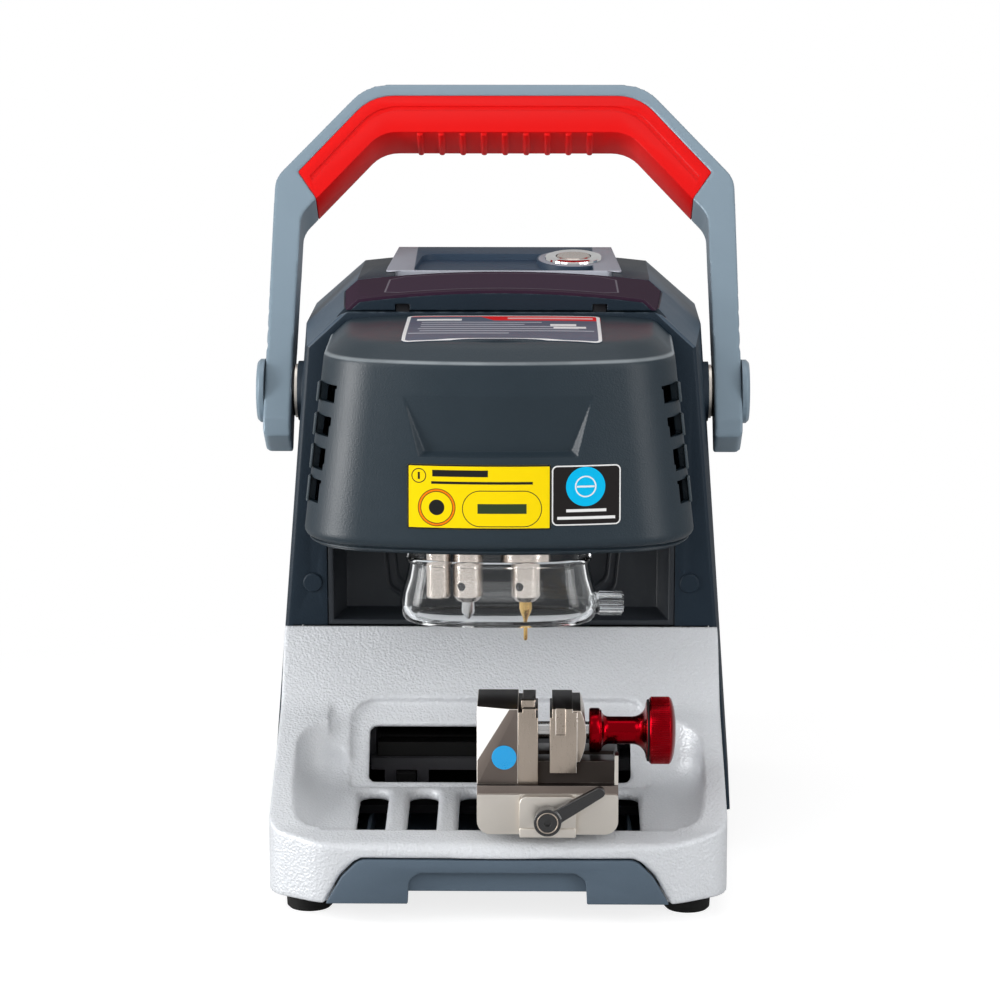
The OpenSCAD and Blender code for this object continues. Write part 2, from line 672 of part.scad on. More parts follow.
// ---- rear top cover and power button ----
// Plan of the rear top cover, set in by t.
module hump_plan(t) {
    w = hump_half_w - t;
    polygon(rounded([[-w, hump_front_y + t], [-w + 6, hump_rear_y - t], [w - 6, hump_rear_y - t],
        [w, hump_front_y + t]], [4, 12, 12, 4]));
}
module hump_frame() {
    translate([0, hump_front_y, hump_front_z]) rotate([hump_tilt, 0, 0]) children();
}
module rear_top_cover() color("slategray") {
    len = hump_rear_y - hump_front_y;
    difference() {
        intersection() {
            along_x(2 * hump_half_w) polygon(rounded([[hump_front_y, bay_z - 2],
                [hump_front_y, hump_front_z], [hump_rear_y - 16, hump_front_z + (len - 16) * tan(hump_tilt)],
                [hump_rear_y, hump_front_z - 3], [hump_rear_y, bay_z - 2]], [0, 1.5, 5, 3, 0]));
            along_z(0, 400) hump_plan(0);
        }
        // outside the skirt that drops into the opening, the cover follows the roof
        difference() {
            housing_form(-0.3, deck_y, housing_rear_y + 5, housing_low_z);
            along_z(0, 400) hump_plan(2.4);
        }
        along_z(bay_z - 3, eave_z - 3) hump_plan(5);
        hump_frame() {
            translate([0, 0, -3]) linear_extrude(20) difference() {
                polygon(rounded([[-46, 4], [-42, 40], [42, 40], [46, 4]], [3, 8, 8, 3]));
                translate([button_x, (button_y - hump_front_y) / cos(hump_tilt)]) circle(bezel_r + 4);
            }
        }
        button_frame() cylinder(h = 40, r = bezel_r - 2.4, center = true);
    }
}
module button_frame() {
    hump_frame() translate([button_x, (button_y - hump_front_y) / cos(hump_tilt), 0]) children();
}
module button_bezel() color("gainsboro") {
    button_frame() rotate_extrude() polygon([[button_r + move_gap, -7], [bezel_r - 2.8, -7],
        [bezel_r - 2.8, 0.1], [bezel_r, 0.1], [bezel_r - 0.4, 1.2], [bezel_r - 3, 2],
        [button_r + move_gap, 1.4]]);
}
module power_button() color("silver") {
    button_frame() rotate_extrude() polygon([[0, -6], [button_r, -6], [button_r, 1.1],
        [button_r - 0.6, 1.7], [0, 1.5]]);
}

// ---- screen ----
module screen_body(t, top_drop) {
    intersection() {
        housing_form(top_drop, deck_y, housing_rear_y, housing_low_z);
        block(-90, 90, deck_y + 0.1, screen_rear_y, bay_z + 0.7, 300);
    }
}
module screen_frame() color("black") {
    difference() {
        screen_body(0, glass_t);
        both_sides() {
            rod_x(34, 60, hinge_y, hinge_z, hinge_r + screw_gap);
            // room for the hinge bracket, open to the front below the pin only
            block(43.5, 50.5, hinge_y - 5.2, hinge_y + 5, bay_z - 3, hinge_z + 4);
            block(43.5, 50.5, hinge_y - 8, hinge_y, bay_z - 3, hinge_z + 0.3);
        }
        block(-30, 30, screen_rear_y - 4, screen_rear_y + 1, bay_z - 1, bay_z + 3);
    }
}
module screen_glass() color("indigo") {
    difference() {
        screen_body(0, 0);
        housing_form(glass_t, deck_y - 10, housing_rear_y + 10, housing_low_z);
    }
}
module screen_hinge() color("gray") {
    both_sides() {
        rod_x(36, 58, hinge_y, hinge_z, hinge_r);
        difference() {
            union() {
                block(44, 50, hinge_y - 2.5, hinge_y + 2.5, hinge_z - 6.1, hinge_z);
                rod_x(44, 50, hinge_y, hinge_z, 2.5);
            }
            rod_x(43, 51, hinge_y, hinge_z, hinge_r - 0.1);
        }
    }
}

// ---- cutting head ----
// Y of the front of the head cover at height z.
function head_front_at(z) = head_front_y
    + (z - head_bottom_z - head_edge_r) / (head_crease_z - head_bottom_z - head_edge_r) * head_rake;
// Plan of the head cover for a half width w and a front at f, with corners of radius r.
function head_plan(w, f, r) = let (c = w - r, big = (c * c + head_bulge * head_bulge) / (2 * head_bulge),
    e = asin(c / big), yc = f + head_bulge + r, jx = c + r * sin(e), jy = yc - r * cos(e),
    rise = jy - f, arc = (jx * jx + rise * rise) / (2 * rise)) mirrored(concat(
        [[w, head_loft_y]],
        [for (i = [0 : 7]) let (a = (90 - e) * i / 8) [c + r * cos(a), yc - r * sin(a)]],
        [for (i = [0 : 6]) let (x = jx * (1 - i / 6.5)) [x, f + arc - sqrt(arc * arc - x * x)]]));
// Height, half width and front of each section of the head cover, set in by t.
function head_rows(t) = let (cw = head_crease_half_w - t, cf = head_front_y + head_rake + t, cz = head_crease_z - t,
    lw = head_low_half_w - t, r = head_edge_r) concat(
        t > 0 ? [[head_bottom_z - 5, lw, head_front_y + t]] :
            [for (a = [0 : 18 : 90]) [head_bottom_z + r * (1 - cos(a)), lw - r * (1 - sin(a)),
                head_front_y + r * (1 - sin(a))]],
        [[cz - 2.4, cw + 0.3, cf - 0.2], [cz - 0.8, cw, cf], [cz + 0.6, cw - 1.1, cf + 1.1],
         [cz + 3, cw - 3.6, cf + 3.8], [cz + 6, cw - 6.8, cf + 7.4], [cz + 7.2, cw - 9, cf + 10],
         [cz + 7.8, cw - 12.5, cf + 13.5]]);
// Loft through the sections, closed by a crowned top.
module head_form(t) {
    rows = head_rows(t);
    last = rows[len(rows) - 1];
    plans = [for (r = rows) [for (p = head_plan(r[1], r[2], min(head_corner_r - t, r[1] - 30))) [p[0], p[1], r[0]]]];
    top = head_plan(last[1], last[2], head_corner_r - t);
    crown_rings = [for (k = [[0.8, 1.1], [0.5, 1.9], [0.2, 2.2]])
        [for (p = top) [p[0] * k[0], head_loft_y + (p[1] - head_loft_y) * k[0], last[0] + k[1]]]];
    rings = concat(plans, crown_rings);
    n = len(rings[0]);
    m = len(rings);
    polyhedron([for (r = rings) each r], concat(
        [[for (i = [n - 1 : -1 : 0]) i]],
        [for (k = [0 : m - 2], i = [0 : n - 1], h = [0, 1]) let (j = (i + 1) % n, a = k * n, b = a + n)
            h == 0 ? [a + i, b + j, b + i] : [a + i, a + j, b + j]],
        [[for (i = [0 : n - 1]) (m - 1) * n + i]]));
}
// Scoop pressed into the front: the cover's own form, tilted back about the scoop's top.
module scoop_cut() {
    pivot = [0, head_front_at(scoop_top_z), scoop_top_z];
    difference() {
        along_y(head_front_y - 6, head_front_y + 16) polygon([[-scoop_half_w, scoop_low_z], [scoop_half_w, scoop_low_z],
            [scoop_half_w + 6.5, scoop_top_z + 4], [-scoop_half_w - 6.5, scoop_top_z + 4]]);
        translate(pivot) rotate([atan(scoop_depth / (scoop_top_z - scoop_low_z)), 0, 0]) translate(-pivot) head_form(0);
    }
}
module head_cover() color("slategray") {
    difference() {
        union() {
            difference() {
                head_form(0);
                head_form(head_wall);
            }
            intersection() {
                head_form(0.6);
                block(-scoop_half_w - 9, scoop_half_w + 9, head_front_y - 1, head_front_y + 13,
                    scoop_low_z - 4, scoop_top_z + 4);
            }
        }
        block(-120, 120, head_front_y - 20, deck_y + 90, head_bottom_z - 30, head_bottom_z);
        block(-120, 120, deck_y, deck_y + 100, head_bottom_z - 40, head_top_z + 20);
        scoop_cut();
        for (i = [0 : 3]) both_sides()
            block(70, 100, tool_y - 12, tool_y + 3, vent_z - i * 14.4 - i, vent_z - i * 14.4 + 8);
    }
    // louvre lips behind the vents
    for (i = [0 : 3]) both_sides()
        translate([vent_x + i * 1.75, tool_y + 3, vent_z - i * 14.4 - i]) vent_lip(8 + i);
}
module vent_lip(h) {
    linear_extrude(h) polygon(rounded([[-3.5, 0], [1.2, -3.5], [1.9, -2.6], [-0.5, 5], [-3.5, 5]], [0, 0.4, 0.4, 2, 0]));
}
module head_underplate() color("black") {
    inset = head_wall + 0.5;
    difference() {
        along_z(head_bottom_z + 2, head_bottom_z + 4.5) polygon(rounded([
            [-head_low_half_w + inset + 2, deck_y - 0.3], [-head_low_half_w + inset + 2, head_front_y + 30],
            [-50, head_front_y + inset + 7], [50, head_front_y + inset + 7],
            [head_low_half_w - inset - 2, head_front_y + 30], [head_low_half_w - inset - 2, deck_y - 0.3],
            [recess_half_w - 10, deck_y - 0.3], [recess_half_w - 12, panel_y - 1],
            [-recess_half_w + 12, panel_y - 1], [-recess_half_w + 10, deck_y - 0.3]],
            [2, 26, 18, 18, 26, 2, 0, 1, 1, 0]));
        block(probe_x - holder_r - 0.7, spindle_x + quill_r + 1.5, tool_y - quill_r - 1.5, tool_y + quill_r + 1.5,
            head_bottom_z, head_bottom_z + 6);
    }
}
module guard_post() color("gainsboro") {
    translate([post_x, tool_y, 0]) rotate_extrude() polygon([[0, holder_z + 1.5], [5, holder_z + 1.5],
        [5.7, holder_z + 2.2], [5.7, head_bottom_z + 2], [0, head_bottom_z + 2]]);
}
module guard_plan(t) {
    w = guard_half_w + t;
    d = guard_half_d + t;
    polygon(rounded([[-w, tool_y], [-w + 6, tool_y - d], [w - 6, tool_y - d], [w, tool_y],
        [w - 6, tool_y + d], [-w + 6, tool_y + d]], [30, 16 + t, 16 + t, 30, 16 + t, 16 + t]));
}
// Form of the guard, widest a little above its lower edge, set in by t.
module guard_form(t, z0, z1) {
    hull() {
        along_z(z0, z0 + 0.1) guard_plan(-2.5 - t);
        along_z(guard_bottom_z + 8.4, guard_bottom_z + 8.5) guard_plan(0.5 - t);
        along_z(z1 - 0.1, z1) guard_plan(-4 - t);
    }
}
module cutter_guard() color("lightcyan", 0.4) {
    difference() {
        union() {
            guard_form(0, guard_bottom_z, guard_top_z);
            along_z(guard_top_z - 2.4, guard_top_z) guard_plan(-2.5);
            rod_x(guard_half_w - 2, guard_tab_x, tool_y, guard_bottom_z + 7.3, 5);
            for (a = [0 : 45 : 315]) translate([0, tool_y, guard_bottom_z + 7.3]) rotate([a, 0, 0])
                block(guard_half_w - 2, guard_tab_x - 0.5, -0.8, 0.8, 4, 5.8);
        }
        guard_form(guard_wall, guard_bottom_z + 2, guard_top_z + 0.2);
        along_z(guard_bottom_z - 1, guard_bottom_z + 3) guard_plan(-guard_wall - 4.5);
        rod_x(guard_half_w + 2, guard_tab_x + 1, tool_y, guard_bottom_z + 7.3, 3.2);
    }
    both_sides() guard_ear();
}
// Ear inside the guard's flange that reaches up to the underplate.
module guard_ear() {
    block(guard_half_w - 9, guard_half_w - 4, tool_y - 8, tool_y + 8, guard_top_z - 2, head_bottom_z + 1.7);
}

// ---- Z head ----
module z_column() color("slategray") {
    y1 = column_y + column_d;
    difference() {
        union() {
            block(-44, 44, column_y, y1, beam_z, head_base_z + 8);
            block(-34, 34, rail_face_y, y1, head_base_z, head_top_z - 12);
        }
        block(-22, 22, column_y + 4, y1 + 1, beam_z - 1, 70);
        rod_y(0, column_y - 1, column_y + 5, y_screw_z, 8.5);
        // room for the motor that stands on the shelf
        block(-18, 18, rail_face_y - 1, rail_face_y + 11.5, z_motor_z, head_top_z);
    }
    block(-17.5, 17.5, rail_face_y - 20, rail_face_y + 11, z_motor_z - 4, z_motor_z);
}
module z_rails() color("gainsboro") {
    both_sides() difference() {
        block(19.5, 28.5, rail_face_y - 8, rail_face_y, head_base_z + 4, z_motor_z - 5);
        for (z = [head_base_z + 12 : 20 : z_motor_z - 10])
            rod_y(24, rail_face_y - 9, rail_face_y - 5, z, 2);
    }
}
module z_carriage() color("silver") {
    plate_y = rail_face_y - 8 - move_gap;
    difference() {
        union() {
            block(-34, 34, plate_y - 7, plate_y, carriage_low_z, carriage_low_z + carriage_h);
            block(-32, 32, tool_y - 22, plate_y - 6, carriage_low_z + 4, carriage_low_z + carriage_h);
            both_sides() block(29, 34, plate_y - 1, rail_face_y - move_gap, carriage_low_z,
                carriage_low_z + carriage_h);
            block(-9, 9, plate_y - 1, rail_face_y - move_gap, carriage_low_z + 4, carriage_low_z + 20);
        }
        rod_z(spindle_x, tool_y, carriage_low_z, carriage_low_z + 40, quill_r);
        rod_z(probe_x, tool_y, carriage_low_z, carriage_low_z + 40, holder_r);
        rod_z(0, z_screw_y, carriage_low_z - 1, carriage_low_z + 50, 3 + screw_gap);
        block(-30, 30, tool_y + 18, plate_y - 14, carriage_low_z + 10, carriage_low_z + 40);
    }
}
module z_screw() color("silver") {
    rod_z(0, z_screw_y, head_base_z + 1, z_motor_z - 4.5, 3);
}
module z_motor() color("dimgray") {
    stepper([0, z_screw_y - 2, z_motor_z], 17);
}
// Square stepper motor standing on its face at p.
module stepper(p, h) {
    w = motor_w / 2;
    translate(p) {
        linear_extrude(h) polygon(rounded(box_pts(-w, -w, w, w), 4));
        translate([0, 0, h - 1]) cylinder(h = 2.5, r = w * 0.45);
    }
}
module spindle_motor() color("dimgray") {
    difference() {
        union() {
            rod_z(spindle_x, tool_y, quill_z, carriage_low_z + carriage_h + 1, quill_r);
            rod_z(spindle_x, tool_y, carriage_low_z + carriage_h, head_top_z - 10, 16);
        }
        rod_z(spindle_x, tool_y, quill_z - 1, carriage_low_z + 10, spindle_shaft_r + screw_gap);
    }
}
// Tool holder with a chamfered lower end, a tool bore and a side hole for its screw.
module tool_holder(x, top_z, shaft_top_z, shaft_r) {
    difference() {
        translate([x, tool_y, 0]) rotate_extrude() polygon([[0, holder_z], [4.5, holder_z],
            [holder_r, holder_z + 2.5], [holder_r, top_z], [shaft_r, top_z],
            [shaft_r, shaft_top_z], [0, shaft_top_z]]);
        rod_z(x, tool_y, holder_z - 1, holder_z + 12, shank_r + 0.02);
        translate([x, tool_y, holder_z + 7.5]) rotate([90, 0, screw_turn]) cylinder(h = 12, r = 2);
    }
}
module set_screw(x) {
    translate([x, tool_y, holder_z + 7.5]) rotate([90, 0, screw_turn]) difference() {
        translate([0, 0, shank_r + 0.1]) cylinder(h = holder_r - shank_r - 0.7, r = 1.95);
        translate([0, 0, holder_r - 2]) cylinder(h = 3, r = 1, $fn = 6);
    }
}
module spindle_holder() color("silver") {
    tool_holder(spindle_x, quill_z - 0.4, carriage_low_z + 8, spindle_shaft_r);
}
module spindle_set_screw() color("black") {
    set_screw(spindle_x);
}
module cutter() color("gold") {
    translate([spindle_x, tool_y, 0]) rotate_extrude() polygon([[0, cutter_tip_z], [0.6, cutter_tip_z],
        [0.9, cutter_tip_z + 0.8], [0.9, cutter_tip_z + 5.5], [1.3, cutter_tip_z + 9],
        [shank_r, cutter_tip_z + 15], [shank_r, holder_z + 11], [0, holder_z + 11]]);
}
module probe_holder() color("silver") {
    tool_holder(probe_x, carriage_low_z + 32, carriage_low_z + 36, holder_r - 1);
}
module probe_set_screw() color("black") {
    set_screw(probe_x);
}
module probe_pin() color("gainsboro") {
    translate([probe_x, tool_y, 0]) rotate_extrude() polygon([[0, probe_tip_z], [0.4, probe_tip_z],
        [shank_r, probe_tip_z + 5.5], [shank_r, holder_z + 11], [0, holder_z + 11]]);
}

// ---- X and Y table ----
module rail_pair_y(x, y0, y1, z0, z1) {
    both_sides() difference() {
        block(x - 4.5, x + 4.5, y0, y1, z0, z1);
        for (y = [y0 + 10 : 20 : y1 - 5]) rod_z(x, y, z1 - 3, z1 + 1, 2);
    }
}
module y_rails() color("gainsboro") {
    rail_pair_y(y_rail_x, -56, 38, table_z, table_z + rail_h);
    difference() {
        block(-10, 10, -58, -53, table_z, table_z + 12);
        rod_y(0, -60, -50, y_screw_z, 4 + screw_gap);
    }
}
module y_screw() color("silver") {
    rod_y(0, -56, column_y + 3, y_screw_z, 4);
    rod_y(0, column_y - 1.7, column_y + 3.8, y_screw_z, 7);
}
module y_motor() color("dimgray") {
    translate([0, column_y + 4, y_screw_z]) rotate([-90, 0, 0]) stepper([0, 0, 0], 38);
}
module y_carriage() color("slategray") {
    y0 = -50;
    y1 = -2;
    low = table_z + rail_h + move_gap;
    top = low + plate_y_t;
    difference() {
        union() {
            block(2 - motor_side_x, table_side_x, y0, y1, low, top);
            both_sides() for (x = [y_rail_x - 10.5, y_rail_x + 5])
                block(x, x + 5.5, y0, y1, table_z + 2, low + 1);
            block(-8, 8, -34, -14, table_z + 0.6, low + 1);
            block(-motor_side_x, 4 - motor_side_x, x_screw_y - 17.5, x_screw_y + 17.5, low, x_screw_z + 17);
            block(table_side_x - 4, table_side_x, x_screw_y - 7, x_screw_y + 7, top - 1, x_screw_z + 5);
        }
        rod_y(0, -40, -10, y_screw_z, 4 + screw_gap);
        rod_x(-motor_side_x - 6, 6 - motor_side_x, x_screw_y, x_screw_z, 7);
        rod_x(table_side_x - 6, table_side_x + 2, x_screw_y, x_screw_z, 3 + screw_gap);
    }
}
module x_rails() color("gainsboro") {
    for (y = [x_screw_y - 18, x_screw_y + 18])
        block(5 - motor_side_x, table_side_x - 4 - move_gap, y - 4, y + 4, x_rail_z, x_rail_z + 7);
}
module x_screw() color("silver") {
    rod_x(-motor_side_x, table_side_x - 2, x_screw_y, x_screw_z, 3);
    rod_x(0.3 - motor_side_x, 5.7 - motor_side_x, x_screw_y, x_screw_z, 6);
}
module x_motor() color("dimgray") {
    translate([-motor_side_x, x_screw_y, x_screw_z]) rotate([0, -90, 0]) stepper([0, 0, 0], x_motor_len);
}
module x_carriage() color("silver") {
    low = x_rail_z + 7 + move_gap;
    difference() {
        union() {
            block(clamp_mid_x - 25, clamp_mid_x + 25, x_screw_y - 24, x_screw_y + 24, low, arm_top_z);
            block(clamp_mid_x - 9, clamp_mid_x + 9, x_screw_y - 9, x_screw_y + 9, x_rail_z + move_gap, low + 1);
            block(clamp_mid_x - arm_half_w, clamp_mid_x + arm_half_w, clamp_back_y, x_screw_y - 22 - move_gap,
                arm_top_z - 9, arm_top_z);
        }
        rod_x(clamp_mid_x - 30, clamp_mid_x + 30, x_screw_y, x_screw_z, 3 + screw_gap);
        block(clamp_mid_x - arm_half_w + 4, clamp_mid_x + arm_half_w - 4, clamp_back_y + 8, x_screw_y - 32,
            arm_top_z - 10, arm_top_z - 4);
    }
}

// ---- key clamp ----
module clamp_base() color("tan") {
    x1 = clamp_x + clamp_w;
    wing_z = slab_z - 3.6;
    difference() {
        union() {
            // front apron, with the lower corners rounded
            along_y(clamp_front_y, clamp_front_y + 10) polygon(rounded(
                [[clamp_x, clamp_low_z], [x1, clamp_low_z], [x1, wing_z], [clamp_x, wing_z]],
                [6, 6, 1.5, 1.5]));
            // body above the tray floor
            block(clamp_x, x1, clamp_front_y + 2, clamp_back_y, clamp_low_z + 10, slab_z);
            // slab that the moving jaw slides on
            block(jaw_x1, x1 - 1.6, slab_front_y, clamp_back_y, slab_z - 1, slab_top_z);
            // end wall, higher in front of the knob's collar
            block(x1 - 1.6, x1, clamp_front_y + 4, clamp_back_y - 2, clamp_low_z + 10, slab_top_z);
            block(x1 - 1.6, x1, clamp_front_y + 4, clamp_screw_y - knob_collar_r - 2 * move_gap,
                slab_top_z - 1, slab_top_z + 3.6);
        }
        block(plate_x0 - 0.05, plate_x1 + 0.05, clamp_front_y - 1, clamp_front_y + 1, clamp_low_z - 1, wing_z + 0.1);
        // guide slot for the keel of the moving jaw
        block(jaw_face_x + 0.1, x1 - 1.6 - eps, keel_y - 3 - move_gap, keel_y + 3 + move_gap,
            slab_top_z - 5, slab_top_z + 1);
        rod_y(clamp_mid_x, clamp_front_y - 2, clamp_front_y + 8, lever_z, 2.5);
    }
}
module clamp_block() color("tan") {
    n = unit([-bevel_h * bevel_d, -bevel_w * bevel_h, bevel_w * bevel_d]);
    difference() {
        along_y(jaw_front_y, clamp_back_y + 2) polygon(rounded(box_pts(clamp_x - 0.1, slab_z, jaw_x0, jaw_top_z), 0.5));
        // large slanted corner at the front
        translate([clamp_x - 0.1 + bevel_w, jaw_front_y, jaw_top_z])
            rotate([-asin(n[2]), 0, asin(n[0] / sqrt(1 - n[2] * n[2]))])
                translate([-50, -20, -50]) cube([100, 20, 100]);
        rod_x(clamp_x + 0.7, jaw_x1, clamp_screw_y, clamp_screw_z, clamp_screw_r + screw_gap);
    }
}
module clamp_front_plate() color("tan") {
    difference() {
        along_y(clamp_front_y - 4, clamp_front_y + 1 - 0.02) polygon(rounded(
            box_pts(plate_x0, clamp_low_z - 0.4, plate_x1, slab_z - 3.6), [0.6, 0.6, 3, 3]));
        block(plate_x0 - 1, plate_x1 + 1, clamp_front_y - 5, clamp_front_y - 3.4, clamp_low_z + 3.6, clamp_low_z + 4.1);
        rod_y(clamp_mid_x, clamp_front_y - 5, clamp_front_y + 2, lever_z, 2.5);
    }
}
// Outline of a jaw seen from the front, with the step that a key's shoulder rests on.
module jaw_outline(w, low_z) {
    polygon([[0, low_z], [w, low_z], [w, jaw_top_z - 4], [w - 1, jaw_top_z - 4], [w - 1, jaw_top_z],
        [2, jaw_top_z], [2, jaw_top_z - 1.6], [0, jaw_top_z - 1.6]]);
}
module fixed_jaw() color("tan") {
    difference() {
        union() {
            translate([jaw_x0, 0, 0]) along_y(jaw_front_y, clamp_back_y + 1) jaw_outline(jaw_w, slab_z);
            block(jaw_x1 - 7.6, jaw_x1 - 1.5, jaw_front_y + 4, jaw_front_y + 9, jaw_top_z - 1, jaw_top_z + 3);
        }
        rod_x(jaw_x0 - 1, jaw_x1 + 1, clamp_screw_y, clamp_screw_z, clamp_screw_r + screw_gap);
        block(jaw_x1 - 1.6, jaw_x1 + 1, jaw_front_y + 14, jaw_front_y + 17, slab_top_z + 12, jaw_top_z + 1);
    }
}
module moving_jaw() color("tan") {
    low = slab_top_z + move_gap;
    w = knob_x - 1.6 - moving_face_x;
    difference() {
        union() {
            translate([moving_face_x + jaw_w + 3.3, 0, 0]) mirror([1, 0, 0])
                along_y(jaw_front_y, clamp_back_y + 1) jaw_outline(jaw_w + 3.3, low);
            // domed end
            intersection() {
                block(moving_face_x + jaw_w, knob_x, jaw_front_y + 1, clamp_back_y, low, jaw_top_z - 1);
                rod_y(moving_face_x + w - 28, jaw_front_y, clamp_back_y, (low + jaw_top_z) / 2, 28);
            }
            block(moving_face_x, moving_face_x + 12, jaw_front_y, slab_front_y - move_gap, low - 5, low + 1);
            block(moving_face_x + 1, moving_face_x + 14, keel_y - 3, keel_y + 3, low - 4.4, low + 1);
        }
        rod_x(moving_face_x - 1, knob_x + 1, clamp_screw_y, clamp_screw_z, clamp_screw_r + screw_gap);
        block(moving_face_x + 2.6, moving_face_x + 7, jaw_front_y - 1, jaw_front_y + 1.2,
            jaw_top_z - 12, jaw_top_z + 1);
    }
}
module clamp_knob() color("firebrick") {
    translate([knob_x, clamp_screw_y, clamp_screw_z]) rotate([0, 90, 0]) rotate_extrude() polygon(concat(
        [[0, 0], [knob_collar_r - 0.6, 0], [knob_collar_r, 0.6], [knob_collar_r, 4.4],
            [knob_collar_r - 0.6, 5], [knob_collar_r - 2.6, 5.4]],
        [for (i = [0 : 4]) [6.3 + 3 * (1 - sin(i * 22.5)), 5.6 + 3 * (1 - cos(i * 22.5)) * 1.2]],
        [for (i = [0 : 4]) [6.3 + 6 * (1 - cos(i * 22.5)), 19.6 + 6 * sin(i * 22.5)]],
        [[13, 26], [13, 27.2], [knob_r - 0.6, 27.2], [knob_r, 27.8], [knob_r, 36.6], [knob_r - 1, 37.4],
         [9, 38.8], [0, 39.4]]));
}
module clamp_screw() color("silver") {
    rod_x(clamp_x + 6.2, knob_x, clamp_screw_y, clamp_screw_z, clamp_screw_r);
}
module lock_lever() color("black") {
    y0 = clamp_front_y - 12.2;
    y1 = clamp_front_y - 4.3;
    translate([clamp_mid_x, 0, lever_z]) rotate([0, -lever_rise, 0]) difference() {
        union() {
            rod_y(0, y0, y1, 0, lever_hub_r);
            along_y(y0 + 0.8, y1 - 3) polygon([[0, -3.4], [lever_len, -2.4], [lever_len, 2.4], [0, 3.4]]);
            rod_y(lever_len, y0 + 0.8, y1 - 3, 0, 2.4);
        }
        rod_y(0, y0 - 1, y1 + 1, 0, lever_bolt_r + screw_gap);
        rod_y(0, y0 - 1, y0 + 2.6, 0, lever_bolt_r + 1.6);
    }
}
module lever_bolt() color("dimgray") {
    y0 = clamp_front_y - 12;
    difference() {
        union() {
            rod_y(clamp_mid_x, y0, y0 + 2, lever_z, lever_bolt_r + 1.2);
            rod_y(clamp_mid_x, y0 + 1, clamp_front_y - 4.02, lever_z, lever_bolt_r);
            rod_y(clamp_mid_x, y0 + 1, clamp_front_y + 7, lever_z, 2.48);
        }
        translate([clamp_mid_x, y0 + 1.4, lever_z]) rotate([90, 0, 0]) cylinder(h = 3, r = 1.7, $fn = 6);
    }
}

// ---- handle ----
// Frame of the handle: x across, y to its rear, z from the pivots to the bar.
module handle_place() {
    translate([0, pivot_y, pivot_z]) rotate([-handle_lean, 0, 0]) children();
}
module handle_outline(t) {
    w = handle_half_w - t;
    polygon(rounded([[w, -arm_low], [w - 1.5, bend_h - t * 0.4], [top_half_w + 4 - t * 0.4, handle_h - t],
        [-top_half_w - 4 + t * 0.4, handle_h - t], [-w + 1.5, bend_h - t * 0.4], [-w, -arm_low]],
        [3, 16, 24, 24, 16, 3]));
}
module handle_inside() {
    w = handle_half_w - arm_w;
    polygon(rounded([[w, -arm_low - 1], [w, 20], [w - 1.5, bend_h - 21], [top_half_w - 4, bar_inner_h],
        [-top_half_w + 4, bar_inner_h], [-w + 1.5, bend_h - 21], [-w, 20], [-w, -arm_low - 1]],
        [0, 0, 14, 18, 18, 14, 0, 0]));
}
// Area of the grip, set in: everything above a slanted line across each bend.
module grip_area(inset) {
    polygon([[108 - inset * 2, bend_h + 6], [94, bend_h - 16 + inset], [80, bar_inner_h - 60],
        [-80, bar_inner_h - 60], [-94, bend_h - 16 + inset], [-108 + inset * 2, bend_h + 6],
        [-80, handle_h + 20], [80, handle_h + 20]]);
}
module handle_slab(d) {
    along_y(-d / 2, d / 2) children();
}
module handle_frame() color("lightslategray") {
    handle_place() difference() {
        handle_slab(arm_d) difference() {
            handle_outline(0);
            handle_inside();
            intersection() {
                handle_outline(strip_t);
                grip_area(0);
            }
        }
        // shallow scallops on the outer edges of the arms
        both_sides() for (i = [0 : 8]) rod_y(handle_half_w + 4.4, -arm_d, arm_d, 20 + i * 9.5, 5.4);
        both_sides() rod_x(handle_half_w - arm_w - 3, handle_half_w + 2, 0, 0, pivot_r + screw_gap);
        // facet across the front of the lower ends
        along_x(2 * handle_half_w + 2) polygon([[-arm_d / 2 - 1, -arm_low + 10], [-arm_d / 2, -arm_low + 8],
            [-arm_d / 2 + 4.5, -arm_low - 1], [-arm_d / 2 - 1, -arm_low - 1]]);
    }
}
module handle_grip() color("red") {
    handle_place() difference() {
        union() {
            handle_slab(arm_d - 1) difference() {
                intersection() {
                    handle_outline(strip_t + 0.05);
                    grip_area(0.1);
                }
                handle_inside();
            }
            for (i = [-4 : 4]) handle_slab(arm_d - 3)
                polygon(rounded(box_pts(i * 11 - 1.5, bar_inner_h - 1.6, i * 11 + 1.5, bar_inner_h + 2), 1.2));
        }
        for (side = [-1, 1]) handle_slab_at(side * (arm_d / 2 - 0.5)) difference() {
            intersection() {
                handle_outline(strip_t + 6.3);
                grip_area(3);
            }
            handle_outline(strip_t + 8.8);
        }
    }
}
module handle_slab_at(y) {
    along_y(y - 0.7, y + 0.7) children();
}
module pivot_bolts() color("gainsboro") {
    pivot_place() both_sides() {
        rod_x(shoulder_half_w + 3.2, handle_half_w + 1, 0, 0, pivot_r);
        rod_x(boss_x, boss_x + ring_t, 0, 0, 13.5);
    }
}
module pivot_washers() color("black") {
    pivot_place() both_sides() difference() {
        rod_x(boss_x + ring_t, handle_half_w - arm_w - 0.3, 0, 0, 12.6);
        rod_x(boss_x, handle_half_w, 0, 0, pivot_r);
    }
}
module pivot_bosses() color("slategray") {
    pivot_place() both_sides() difference() {
        translate([handle_half_w, 0, 0]) rotate([0, 90, 0]) rotate_extrude()
            polygon([[0, 0], [16, 0], [16, 2.4], [14.6, 3.8], [0, 4.2]]);
        rod_x(handle_half_w - 1, handle_half_w + 1.6, 0, 0, pivot_r + 0.4);
    }
}

